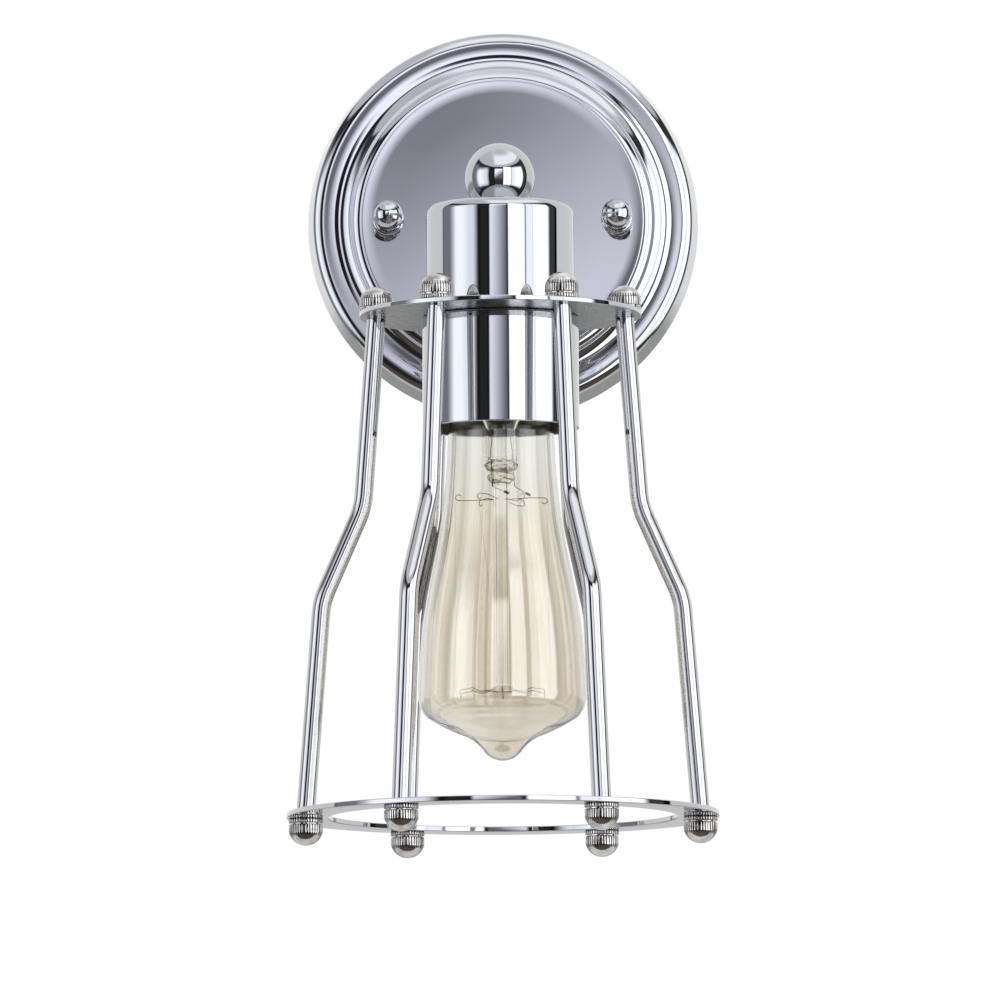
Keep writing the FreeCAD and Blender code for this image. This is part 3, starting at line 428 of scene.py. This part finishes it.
def round_edges(piece, width, angle=30.0, segments=2):
    """Breaks the sharp edges as buffing does."""
    pick(piece)
    bevel = piece.modifiers.new("broken_edges", "BEVEL")
    bevel.width = width * MM
    bevel.segments = segments
    bevel.limit_method = "ANGLE"
    bevel.angle_limit = math.radians(angle)
    bevel.harden_normals = True
    bpy.ops.object.modifier_apply(modifier=bevel.name)


def smooth(piece, angle=40.0):
    """Shades a piece smoothly, but for edges sharper than the angle in degrees."""
    pick(piece)
    bpy.ops.object.shade_smooth_by_angle(angle=math.radians(angle))
    even = piece.modifiers.new("even_shine", "WEIGHTED_NORMAL")
    even.keep_sharp = True
    bpy.ops.object.modifier_apply(modifier=even.name)


def two_finishes(piece, first, second):
    """Gives a piece its first finish, and a second one for single faces."""
    piece.data.materials.append(first)
    piece.data.materials.append(second)


def hand_over(piece, name, slot, stands_for, body="fixture", finish=None):
    """Names a finished piece and gives it its finish, found by its slot unless one is given, and
    the body it moves with.
    """
    piece.name = name
    piece.data.name = name
    if not piece.data.materials:
        piece.data.materials.append(finish or FINISHES[slot])
    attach(piece, body)
    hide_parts(*stands_for)


def copied_round(piece):
    """Copies a piece round the cage, one for each rod and each with its own mesh."""
    copies = [piece]
    for i in range(1, RODS):
        pick(piece)
        bpy.ops.object.duplicate()
        twin = bpy.context.object
        turn = Matrix.Rotation(math.tau * i / RODS, 4, "Z")
        twin.matrix_world = (Matrix.Translation(CAGE_AXIS) @ turn
                             @ Matrix.Translation(-CAGE_AXIS))
        settle(twin)
        copies.append(twin)
    return copies


# ---------------------------------------------------------------- wall side

def make_canopy():
    """One pressed sheet: side wall, rounded shoulder, cove, hollow step, ledge, lip and disc."""
    piece = turned([
        (76.2, 0.0), (73.9, 14.4), (69.4, 16.6, 5.5), (64.1, 16.8, -14.0), (59.4, 18.8, -6.5),
        (57.9, 18.8), (54.9, 19.81, 4.4), (54.3, 19.88, 1.4), (50.0, 19.97, 34.0),
        (5.0, 18.84, -1100.0), (5.0, 17.9), (50.0, 18.97, 1100.0), (53.5, 18.9, -34.0),
        (56.9, 17.8, -4.3), (58.4, 17.8), (63.1, 15.8, 7.5), (68.4, 15.6, 15.0),
        (72.9, 13.4, -4.5), (75.2, 0.0), (76.2, 0.0),
    ], way="front", steps=192)
    round_edges(piece, 0.22)
    smooth(piece)
    hand_over(piece, "stepped_canopy", "chrome_plate", stands_for=("canopy",))


def make_finials():
    """Ball finials turned from bar: bead, neck and ball. The bead reaches the dished disc."""
    for side, name in ((-1, "left"), (1, "right")):
        piece = turned([
            (2.05, -0.25), (5.7, -0.25), (6.2, 0.25, 0.5), (6.2, 1.3), (5.1, 2.4, 1.1), (4.5, 2.4),
            (4.0, 2.9, -0.5), (4.0, 11.7), (4.25, 12.35, -1.0), (5.8, 16.3, 5.8),
            (0.0, 22.1, 5.8), (0.0, 10.0), (2.05, 10.0), (2.05, -0.25),
        ], across=side * FINIAL_ASIDE, out=CANOPY_FACE, way="front", steps=96)
        smooth(piece)
        hand_over(piece, name + "_ball_finial", "chrome_plate", stands_for=("finial_" + name,),
                  body="finial_" + name)


def make_arm():
    """The arm is a plain tube with turned ends."""
    piece = turned([
        (5.0, -1.0), (6.35, -1.0), (6.35, 106.45), (6.1, 106.7, 0.25), (5.0, 106.7), (5.0, -1.0),
    ], out=CANOPY_FACE, way="front", steps=96)
    smooth(piece)
    hand_over(piece, "straight_arm", "chrome_plate", stands_for=("arm_tube",))


def make_elbow():
    """A ball with two faced flats, one on the arm and one on the cup."""
    clear()
    bpy.ops.mesh.primitive_uv_sphere_add(segments=128, ring_count=96,
                                         radius=BALL_RADIUS * MM, location=CAGE_AXIS)
    piece = bpy.context.object
    settle(piece)
    edit()
    for normal in (Vector((0, 0, -1)), Vector((0, 1, 0))):
        select_mesh()
        bpy.ops.mesh.bisect(plane_co=CAGE_AXIS + normal * BALL_FLAT * MM, plane_no=normal,
                            use_fill=True, clear_outer=True)
    leave()
    round_edges(piece, 0.2, 25.0)
    smooth(piece)
    hand_over(piece, "elbow_ball_turned", "chrome_plate", stands_for=("elbow_ball",))


# ---------------------------------------------------------------- cup, plate, sleeve and ring

def dull_and_shade_the_inside(cup, radius, rim):
    """Gives a cup's inner wall and ceiling, within a radius and above a rim, a duller finish,
    darkened with painted shade.
    """
    two_finishes(cup, FINISHES["chrome_plate"], SHADED_INSIDE)
    for face in cup.data.polygons:
        place = (face.center - CAGE_AXIS) / MM
        outward = face.normal.x * place.x + face.normal.y * place.y
        inside = math.hypot(place.x, place.y) < radius and place.z > rim
        # the inner wall's faces look at the axis, and the ceiling's look down
        if inside and (outward < -0.1 or face.normal.z < -0.5):
            face.material_index = 1


def make_cups():
    """Two drawn cups, both open downwards: one over the plate, one under it."""
    cup = turned([
        (26.75, 0.0), (27.95, 0.0), (27.95, 37.1), (24.15, 40.9, 3.8), (5.0, 40.9), (5.0, 39.7),
        (24.15, 39.7), (26.75, 37.1, -2.6), (26.75, 0.0),
    ], out=CAGE_OUT, up=PLATE_TOP)
    round_edges(cup, 0.2)
    smooth(cup)
    dull_and_shade_the_inside(cup, 27.0, PLATE_TOP + 0.2)
    hand_over(cup, "upper_cup_drawn", "chrome_plate", stands_for=("upper_cup",))
    sleeve = turned([
        (28.4, 0.0), (29.6, 0.0), (29.6, 41.4), (28.4, 42.6, 1.2), (5.0, 42.6), (5.0, 41.4),
        (28.1, 41.4), (28.4, 41.1, -0.3), (28.4, 0.0),
    ], out=CAGE_OUT, up=SLEEVE_RIM)
    round_edges(sleeve, 0.35, segments=3)
    smooth(sleeve)
    dull_and_shade_the_inside(sleeve, 28.6, SLEEVE_RIM + 0.4)
    hand_over(sleeve, "socket_sleeve_drawn", "chrome_plate", stands_for=("socket_sleeve",))


def make_plate():
    """A flat disc, mirror bright on top and on its edge, and satin underneath, where its darker
    grey is painted shade.
    """
    plate = turned([
        (5.0, 0.0), (53.3, 0.0), (53.3, 1.8), (5.0, 1.8), (5.0, 0.0),
    ], out=CAGE_OUT, up=PLATE_UNDER, steps=192)
    round_edges(plate, 0.3, segments=3)
    smooth(plate)
    two_finishes(plate, FINISHES["chrome_plate"], SHADED_SATIN)
    # the underside's satin finish is darkened with painted shade
    for face in plate.data.polygons:
        # only the underside looks straight down
        if face.normal.z < -0.95:
            face.material_index = 1
    hand_over(plate, "cage_plate_disc", "chrome_plate", stands_for=("cage_plate",))


def make_ring():
    """A flat cut ring with its edges broken."""
    ring = turned([
        (65.7, 0.0), (81.6, 0.0), (81.6, 2.0), (65.7, 2.0), (65.7, 0.0),
    ], out=CAGE_OUT, up=RING_UNDER, steps=192)
    round_edges(ring, 0.35, segments=3)
    smooth(ring)
    hand_over(ring, "flat_bottom_ring", "chrome_plate", stands_for=("bottom_ring",))


# ---------------------------------------------------------------- cage rods and nuts

def make_rods():
    """Each rod is bent twice: a bar pushed out straight, turned through a bend, and so on."""
    corners = [
        Vector((ROD_TOP_REACH, 0, PLATE_UNDER)),
        Vector((ROD_UPPER_REACH, 0, PLATE_UNDER - ROD_UPPER_DROP)),
        Vector((ROD_LOWER_REACH, 0, PLATE_UNDER - ROD_LOWER_DROP)),
        Vector((ROD_FOOT_REACH, 0, RING_TOP)),
    ]
    runs = [(b - a).normalized() for a, b in zip(corners, corners[1:])]
    clear()
    bpy.ops.mesh.primitive_circle_add(vertices=ROD_SIDES, radius=ROD_RADIUS * MM,
                                      location=CAGE_AXIS + corners[0] * MM)
    rod = bpy.context.object
    edit()
    select_mesh()
    here = corners[0]
    # the upper bend turns outwards, and the lower one back
    for i, outward in ((1, 1), (2, -1)):
        angle = runs[i - 1].angle(runs[i])
        reach = ROD_BEND * math.tan(angle / 2)
        before = corners[i] - runs[i - 1] * reach
        side = Vector((-runs[i - 1].z, 0, runs[i - 1].x)) * outward
        extrude((before - here) * MM)
        centre = CAGE_AXIS + (before + side * ROD_BEND) * MM
        bpy.ops.mesh.spin(steps=14, angle=angle, center=centre, axis=(0, outward, 0))
        here = corners[i] + runs[i] * reach
    extrude((corners[3] - here) * MM)
    weld(rod, open_sides=ROD_SIDES)
    smooth(rod)
    names = ("right", "back_right", "back_left", "left", "front_left", "front_right")
    for copy, name in zip(copied_round(rod), names):
        hand_over(copy, "bent_rod_" + name, "chrome_plate", stands_for=("rod_" + name,),
                  finish=DRAWN_BAR)


# A nut has 36 ribs of six columns of vertices. RIB_SHAPE says how deep each column is pressed
# in, and the groove pair between which columns the faces get painted shade with some polish. A
# band reaches BAND_DEPTH inwards.
COLUMNS = 216
RIB_SHAPE = (0.0, 0.01, 0.06, 0.5, 0.06, 0.01)
PAINTED_SHADE_SPAN = (2.0, 4.0)
BAND_DEPTH = 0.6


def ribbed(piece, centre, low, high, outer, depth):
    """Presses the columns of a band in, each to its own depth, so rounded ribs stand up."""
    def place_of(point):
        place = (point - centre) / MM
        column = math.degrees(math.atan2(place.y, place.x)) / 360 * COLUMNS
        return abs(place.z), math.hypot(place.x, place.y), column % len(RIB_SHAPE)
    for i, share in enumerate(RIB_SHAPE):
        if share == 0.0:
            continue

        def on_column(vertex):
            height, radius, column = place_of(vertex.co)
            in_band = low <= height <= high and radius > outer - BAND_DEPTH
            return in_band and abs(column - i) < 0.2
        choose(piece, on_column)
        size = 1 - share * depth / outer
        bpy.ops.transform.resize(value=(size, size, 1), center_override=centre)
        leave()
    # faces between the groove columns get the dark finish: painted shade, with some polish
    for face in piece.data.polygons:
        height, radius, column = place_of(face.center)
        if low <= height <= high and PAINTED_SHADE_SPAN[0] < column < PAINTED_SHADE_SPAN[1]:
            face.material_index = 1


def make_nuts():
    """Knurled dome nuts: a ribbed flange, a groove, and a ribbed band that runs into a dome."""
    for reach, lift, way, label, nodes in (
            (ROD_TOP_REACH, PLATE_TOP, "up", "upper_dome_nut", "top_nuts"),
            (ROD_FOOT_REACH, RING_UNDER, "down", "lower_dome_nut", "bottom_nuts")):
        nut = turned([
            (0.0, 0.0), (6.2, 0.0), (6.45, 0.2), (6.45, 1.45), (6.2, 1.7), (5.95, 1.75),
            (5.95, 2.05), (6.2, 2.15), (6.4, 2.45), (6.4, 5.0), (0.0, 10.0, 6.6),
        ], across=reach, out=CAGE_OUT, up=lift, way=way, steps=COLUMNS)
        centre = CAGE_AXIS + Vector((reach, 0, lift)) * MM
        # the nut's second finish is painted shade in its grooves
        two_finishes(nut, FINISHES["nickel_plate"], POLISH_AND_PAINTED_SHADE)
        ribbed(nut, centre, low=2.3, high=6.4, outer=6.4, depth=1.0)
        ribbed(nut, centre, low=0.1, high=1.6, outer=6.45, depth=0.7)
        smooth(nut, 50.0)
        for i, copy in enumerate(copied_round(nut)):
            hand_over(copy, "%s_%d" % (label, i + 1), "nickel_plate", stands_for=(nodes,))


# ---------------------------------------------------------------- bulb

def make_envelope():
    """The blown envelope with its drawn-off tip."""
    piece = turned([
        (12.6, 0.0), (15.6, -0.4), (19.6, -4.4, -4.1), (20.0, -8.0), (26.4, -61.0, 255.0),
        (31.65, -106.0, -216.0), (26.6, -117.2, -10.6), (13.5, -123.5, -60.0),
        (7.6, -128.2, 19.0), (0.0, -132.5, -8.87), (0.0, -131.7), (6.95, -127.75, 8.07),
        (13.05, -122.7, -19.8), (26.15, -116.3, 60.0), (30.75, -106.0, 9.7),
        (25.5, -61.0, 216.0), (19.1, -8.0, -255.0), (18.75, -4.6), (15.5, -1.3, 3.4),
        (12.3, -0.9), (11.7, 0.0), (12.6, 0.0),
    ], out=CAGE_OUT, up=CAP_RIM, steps=128)
    smooth(piece, 60.0)
    hand_over(piece, "blown_envelope", "bulb_envelope", stands_for=("bulb_glass",), body="bulb")


def make_stem():
    """The flared glass tube, the two lumps of its creased pinch, and the rod with its button."""
    tube = turned([
        (10.6, 0.0), (5.0, -9.0, 8.6), (5.0, -17.8), (0.0, -17.8), (0.0, -18.8),
        (6.0, -18.8), (6.0, -9.0), (11.6, 0.0, -8.6), (10.6, 0.0),
    ], out=CAGE_OUT, up=CAP_RIM, steps=96)
    smooth(tube)
    hand_over(tube, "flared_stem", "clear_glass", stands_for=("bulb_stem",), body="bulb")
    for lift, size, seed, name in (
            (-109.7, (6.4, 2.6, 2.4), 3, "upper"), (-114.0, (5.3, 2.3, 2.9), 8, "lower")):
        clear()
        bpy.ops.mesh.primitive_uv_sphere_add(segments=28, ring_count=16, radius=MM,
                                             location=CAGE_AXIS + Vector((0, 0, lift)) * MM)
        lump = bpy.context.object
        edit()
        select_mesh()
        bpy.ops.transform.resize(value=size)
        bpy.ops.transform.vertex_random(offset=0.5 * MM, uniform=0.3, normal=0.7, seed=seed)
        leave()
        settle(lump)
        soft = lump.modifiers.new("melted", "SUBSURF")
        soft.levels = soft.render_levels = 2
        bpy.ops.object.modifier_apply(modifier=soft.name)
        smooth(lump, 180.0)
        hand_over(lump, "pinched_stem_end_" + name, "clear_glass", stands_for=("bulb_stem",),
                  body="bulb", finish=PINCHED)
    post = turned([
        (0.0, -2.2), (3.5, -2.2), (4.1, -1.6, 0.6), (4.1, -0.6), (3.5, 0.0, 0.6), (3.2, 0.1),
        (3.0, 0.5, -0.5), (3.0, 76.4), (2.4, 77.2, 0.9), (0.0, 77.2),
    ], out=CAGE_OUT, up=POST_END, steps=64)
    smooth(post)
    hand_over(post, "glass_post", "clear_glass", stands_for=("bulb_post",), body="bulb")


# Wires: their radii, and the angle in radians of one step of a bend.
STEM_WIRE = 0.14
UPPER_HOOK_WIRE = 0.14
LOWER_HOOK_WIRE = 0.16
LEAD_WIRE = 0.24
CLAMP = 0.5
FILAMENT = 0.02
WIRE_STEP = 0.3

# Heights at which the hooks leave the post and its button, and the filament rests on them.
UPPER_HOOKS = -122.4
LOWER_HOOKS = -194.7
FILAMENT_TOP = -122.1
FILAMENT_FOOT = -195.6


def bent_wire(start, moves, thick, sides=8):
    """A wire drawn out from its start: ("go", vector) is straight, ("bend", angle, arm) turns."""
    clear()
    first = moves[0][1].normalized()
    bpy.ops.mesh.primitive_circle_add(vertices=sides, radius=thick * MM,
                                      location=CAGE_AXIS + start * MM)
    wire = bpy.context.object
    wire.rotation_mode = "QUATERNION"
    wire.rotation_quaternion = first.to_track_quat("Z", "Y")
    edit()
    select_mesh()
    here, heading = start.copy(), first
    for move in moves:
        if move[0] == "go":
            extrude(move[1] * MM)
            here, heading = here + move[1], move[1].normalized()
        else:
            angle, arm = move[1], move[2]
            axis = heading.cross(arm).normalized()
            bpy.ops.mesh.spin(steps=max(3, round(angle / WIRE_STEP)), angle=angle,
                              center=CAGE_AXIS + (here + arm) * MM, axis=-axis)
            turn = Matrix.Rotation(angle, 3, axis)
            here, heading = here + arm - turn @ arm, turn @ heading
    weld(wire, open_sides=sides)
    smooth(wire, 80.0)
    return wire


def joined(pieces):
    """Makes one object of several."""
    clear()
    for piece in pieces:
        piece.select_set(True)
    bpy.context.view_layer.objects.active = pieces[0]
    bpy.ops.object.join()
    return pieces[0]


def spoke(angle):
    """A level unit vector at an angle in radians."""
    return Vector((math.cos(angle), math.sin(angle), 0))


def make_supports():
    """Thin wires sealed in the post and the button, each with its end curled into a hook."""
    up, down = Vector((0, 0, 1)), Vector((0, 0, -1))
    upper, lower = [], []
    # each upper wire was bent by hand to a height of its own
    for i, lift in enumerate((0.9, -2.2, 2.4, -0.6, 1.9, -2.7)):
        out = spoke(math.tau * i / 6)
        curl = up if i % 2 else down
        start = out * 2.6 + up * UPPER_HOOKS
        run = out * 13.6 + up * lift
        upper.append(bent_wire(start, [
            ("go", run * 0.62), ("go", run * 0.38 - up * lift * 0.5),
            ("bend", 4.2, curl * 1.1)], UPPER_HOOK_WIRE))
    hand_over(joined(upper), "upper_hooks", "fine_wire", stands_for=("bulb_upper_supports",),
              body="bulb")
    for i in range(6):
        out = spoke(math.tau * (i + 0.5) / 6)
        start = out * 3.7 + up * LOWER_HOOKS
        lower.append(bent_wire(start, [
            ("go", out * 5.6 + down * 0.9), ("go", out * 3.6 + up * 1.3),
            ("bend", 0.7, down * 1.6), ("go", out * 3.4 + down * 0.5),
            ("bend", 1.3, down * 1.0), ("go", down * 1.1)], LOWER_HOOK_WIRE))
    hand_over(joined(lower), "lower_hooks", "fine_wire", stands_for=("bulb_lower_supports",),
              body="bulb")


def wire_through(points, thick, sides):
    """A wire pushed out from point to point."""
    points = [Vector(point) for point in points]
    return bent_wire(points[0], [("go", b - a) for a, b in zip(points, points[1:])], thick, sides)


def make_leads():
    """Two lead wires: thin inside the stem, thick under the pinch, each with a crimped clamp."""
    low = PINCH_UNDER
    # left and right lead, their thicker feet, and the two clamps, each from point to point
    wires = [wire_through(points, thick, sides) for thick, sides, points in (
        (STEM_WIRE, 8, [(-3.0, -0.9, CAP_RIM + 2), (-3.2, -0.9, -98.0), (-3.9, -1.0, -104.0),
                        (-3.4, -1.5, low + 0.6)]),
        (STEM_WIRE, 8, [(3.4, 0.5, CAP_RIM + 2), (3.5, 0.5, -99.0), (4.4, 0.3, -105.0),
                        (5.0, 0.0, low + 0.6)]),
        (LEAD_WIRE, 8, [(-3.4, -1.5, low + 0.4), (-3.4, -1.5, low - 0.8),
                        (-3.0, -3.0, low - 1.6), (-0.8, -4.3, low - 2.6),
                        (2.8, -4.3, low - 4.1)]),
        (LEAD_WIRE, 8, [(5.0, 0.0, low + 0.4), (5.0, 0.0, low - 0.7), (5.6, -0.4, low - 1.5),
                        (10.7, -1.4, low - 4.6)]),
        (CLAMP, 10, [(1.0, -4.3, low - 3.4), (1.7, -4.3, low - 3.66), (3.0, -4.3, low - 4.25)]),
        (CLAMP, 10, [(9.2, -1.1, low - 3.7), (9.8, -1.2, low - 4.05), (10.9, -1.4, low - 4.7)]),
    )]
    hand_over(joined(wires), "stem_leads", "fine_wire", stands_for=("bulb_leads",), body="bulb")


def make_filament():
    """A hair-thin filament strung from lead to lead over the hooks."""
    low = PINCH_UNDER
    points = [Vector((10.7, -1.4, low - 5.15))]
    for i in range(6):
        foot, top = spoke(math.radians(60 * i - 30)) * 20.4, spoke(math.radians(60 * i)) * 17.5
        points += [foot + Vector((0, 0, FILAMENT_FOOT)), top + Vector((0, 0, FILAMENT_TOP))]
    points.append(Vector((2.8, -4.3, low - 4.6)))
    thread = wire_through(points, FILAMENT, 5)
    hand_over(thread, "thin_filament", "fine_wire", stands_for=("bulb_filament",), body="bulb")


# ---------------------------------------------------------------- studio and camera

def calc(tree, operation, *values):
    """What a Math node makes of values or outputs of other nodes."""
    return add_node(tree, "ShaderNodeMath", dict(enumerate(values)),
                    operation=operation).outputs["Value"]


def product(tree, values):
    """Multiplies several patterns."""
    result = values[0]
    for value in values[1:]:
        result = calc(tree, "MULTIPLY", result, value)
    return result


def patch(tree, azimuth, lift, left, right, low, high, soft):
    """1 inside a window of directions in degrees, with soft edges."""
    return product(tree, [
        soft_step(tree, azimuth, left, left + soft), soft_step(tree, azimuth, right, right - soft),
        soft_step(tree, lift, low, low + soft), soft_step(tree, lift, high, high - soft)])


# What stands round the light, in degrees from the camera's side, to the right and up, as
# left edge, right edge, lower edge, upper edge, softness of the edges and brightness.
PANELS = [
    ("grey side of the tent", -103, -76, -36, 36, 6, (0.28, 0.28, 0.31)),
    ("left softbox, its edge", -86, -33, -32, 31, 16, (1.62, 1.66, 1.76)),
    ("left softbox, its dimmer side", -62, -32, -30, 31, 16, (1.22, 1.27, 1.37)),
    ("grey gap", -34, -15, -34, 24, 6, (0.03, 0.03, 0.032)),
    ("right softbox, its bright edge", 12, 41, -28, 30, 3, (2.30, 2.32, 2.38)),
    ("right softbox, its middle", 40, 54, -30, 29, 3, (1.55, 1.58, 1.68)),
    ("right softbox, its far side", 49, 86, -31, 31, 7, (2.00, 2.03, 2.13)),
    ("grey end of the tent", 84, 97, -34, 33, 3, (0.07, 0.07, 0.072)),
]


# What the rest of the world holds, from straight below to straight above, and behind the light.
DARK = (0.004, 0.004, 0.005, 1.0)
LOW_DARK = (0.12, 0.095, 0.08, 1.0)
HIGH_DARK = (0.05, 0.048, 0.052, 1.0)
WINDOW_FRAME = (0.06, 0.055, 0.055, 1.0)
WINDOW_TONE = (0.97, 0.97, 1.09)
CEILING = (0.78, 0.78, 0.82, 1.0)
BRIGHT_CEILING = (1.45, 1.48, 1.52, 1.0)
OVERHEAD = (0.80, 0.80, 0.84, 1.0)
BACKDROP = (0.96, 0.96, 0.955, 1.0)
BACKDROP_FOOT = (0.42, 0.42, 0.41, 1.0)
WHITE = (1, 1, 1, 1)

# The floor, in metres: its size and height, how far off metal stops seeing it, and where in
# front of the wall.
FLOOR_SIZE = 14.0
FLOOR_HEIGHT = -1.1
FLOOR_FAR = (1.55, 1.85)
FLOOR_AHEAD = (-0.15, -0.35)


def clear_far_floor(tree, shader, place):
    """Polished metal sees the floor under and behind the light, and the studio elsewhere."""
    distance = add_node(tree, "ShaderNodeVectorMath", {0: place}, operation="LENGTH")
    far = soft_step(tree, distance.outputs["Value"], *FLOOR_FAR)
    ahead = add_node(tree, "ShaderNodeSeparateXYZ", {"Vector": place}).outputs["Y"]
    far = calc(tree, "MAXIMUM", far, soft_step(tree, ahead, *FLOOR_AHEAD))
    glossy = add_node(tree, "ShaderNodeLightPath").outputs["Is Glossy Ray"]
    let_through(tree, shader, product(tree, [far, glossy]))


def make_floor():
    """A pale paper floor under the light."""
    clear()
    bpy.ops.mesh.primitive_plane_add(size=FLOOR_SIZE, location=(0, 0, FLOOR_HEIGHT))
    floor = bpy.context.object
    floor.name = "studio_floor"
    paper, tree, shader, place = new_finish("pale_paper", Roughness=0.9)
    tint(tree, shader, blotches(tree, place, 600.0), "#E6E5E3", "#EBEAE8")
    floor.data.materials.append(paper)
    clear_far_floor(tree, shader, place)


def window_pane(tree, azimuth, lift):
    """The window over the camera is brighter upwards and to the left."""
    glow = calc(tree, "MULTIPLY_ADD", lift, 0.078, 0.11)
    glow = calc(tree, "MULTIPLY_ADD", azimuth, -0.05, glow)
    glow = add_node(tree, "ShaderNodeClamp", {"Value": glow, "Min": 0.24, "Max": 1.6})
    pane = add_node(tree, "ShaderNodeVectorMath", {0: WINDOW_TONE}, operation="SCALE")
    tree.links.new(glow.outputs["Result"], pane.inputs["Scale"])
    return pane.outputs["Vector"]


def over_ceiling_edge(tree, azimuth, lift):
    """Degrees above the ceiling's lower edge, which rises to both sides."""
    edge = add_node(tree, "ShaderNodeMapRange", {
        "Value": calc(tree, "ABSOLUTE", azimuth), "From Min": 20.0, "From Max": 100.0,
        "To Min": 28.0, "To Max": 43.0})
    return calc(tree, "SUBTRACT", lift, edge.outputs["Result"])


def make_world():
    """Softboxes with dark gaps, a light ceiling and a backdrop. The camera sees plain white."""
    world = bpy.data.worlds.new("studio")
    bpy.context.scene.world = world
    world.use_nodes = True
    tree = world.node_tree
    tree.nodes.clear()
    way = add_node(tree, "ShaderNodeTexCoord").outputs["Generated"]
    parts = add_node(tree, "ShaderNodeSeparateXYZ", {"Vector": way}).outputs
    front = calc(tree, "MULTIPLY", parts["Y"], -1.0)
    azimuth = calc(tree, "DEGREES", calc(tree, "ARCTAN2", parts["X"], front))
    lift = calc(tree, "DEGREES", calc(tree, "ARCSINE", parts["Z"]))
    look = layer(tree, DARK, soft_step(tree, lift, -26, -40), LOW_DARK)
    look = layer(tree, look, soft_step(tree, lift, 18, 34), HIGH_DARK)
    for _, left, right, low, high, soft, colour in PANELS:
        look = layer(tree, look, patch(tree, azimuth, lift, left, right, low, high, soft),
                     (*colour, 1.0))
    window = patch(tree, azimuth, lift, -17, 12, -27, 25, 3)
    look = layer(tree, look, window, WINDOW_FRAME)
    look = layer(tree, look, product(tree, [window, soft_step(tree, lift, -15, -1)]),
                 window_pane(tree, azimuth, lift))
    over = over_ceiling_edge(tree, azimuth, lift)
    look = layer(tree, look, soft_step(tree, over, 0, 3), CEILING)
    bright_side = product(tree, [soft_step(tree, over, 7, 12),
                                 soft_step(tree, parts["X"], -0.35, -0.15)])
    look = layer(tree, look, bright_side, BRIGHT_CEILING)
    look = layer(tree, look, soft_step(tree, lift, 60, 84), OVERHEAD)
    behind = soft_step(tree, parts["Y"], 0.17, 0.2)
    look = layer(tree, look, behind, BACKDROP)
    below = product(tree, [behind, soft_step(tree, lift, 0, -8)])
    look = layer(tree, look, below, BACKDROP_FOOT)
    light = add_node(tree, "ShaderNodeBackground", {"Color": look, "Strength": 1.0})
    white = add_node(tree, "ShaderNodeBackground", {"Color": WHITE, "Strength": 1.0})
    rays = add_node(tree, "ShaderNodeLightPath").outputs
    through = product(tree, [rays["Is Transmission Ray"],
                             soft_step(tree, parts["Y"], -0.1, 0.15)])
    seen = calc(tree, "MAXIMUM", rays["Is Camera Ray"], through)
    both = add_node(tree, "ShaderNodeMixShader", {
        0: seen, 1: light.outputs["Background"], 2: white.outputs["Background"]})
    add_node(tree, "ShaderNodeOutputWorld", {"Surface": both.outputs["Shader"]})


def make_camera():
    """The photograph's viewpoint, as fitted: far off, below the canopy, looking slightly up."""
    data = bpy.data.cameras.new("photo_view")
    camera = bpy.data.objects.new("photo_view", data)
    bpy.context.scene.collection.objects.link(camera)
    data.lens = 399.4
    data.sensor_width = 36.0
    data.clip_end = 50.0
    turn = (Matrix.Rotation(0.00946, 4, "Z") @ Matrix.Rotation(math.pi / 2 + 0.10917, 4, "X")
            @ Matrix.Rotation(-0.00561, 4, "Z"))
    camera.matrix_world = Matrix.Translation((0.038856, -4.3, -0.578857)) @ turn
    bpy.context.scene.camera = camera


make_camera()
make_floor()
make_world()
dress_cad_nodes()
make_canopy()
make_finials()
make_arm()
make_elbow()
make_cups()
make_plate()
make_ring()
make_rods()
make_nuts()
make_envelope()
make_stem()
make_supports()
make_leads()
make_filament()

bpy.context.scene.view_settings.view_transform = "Standard"
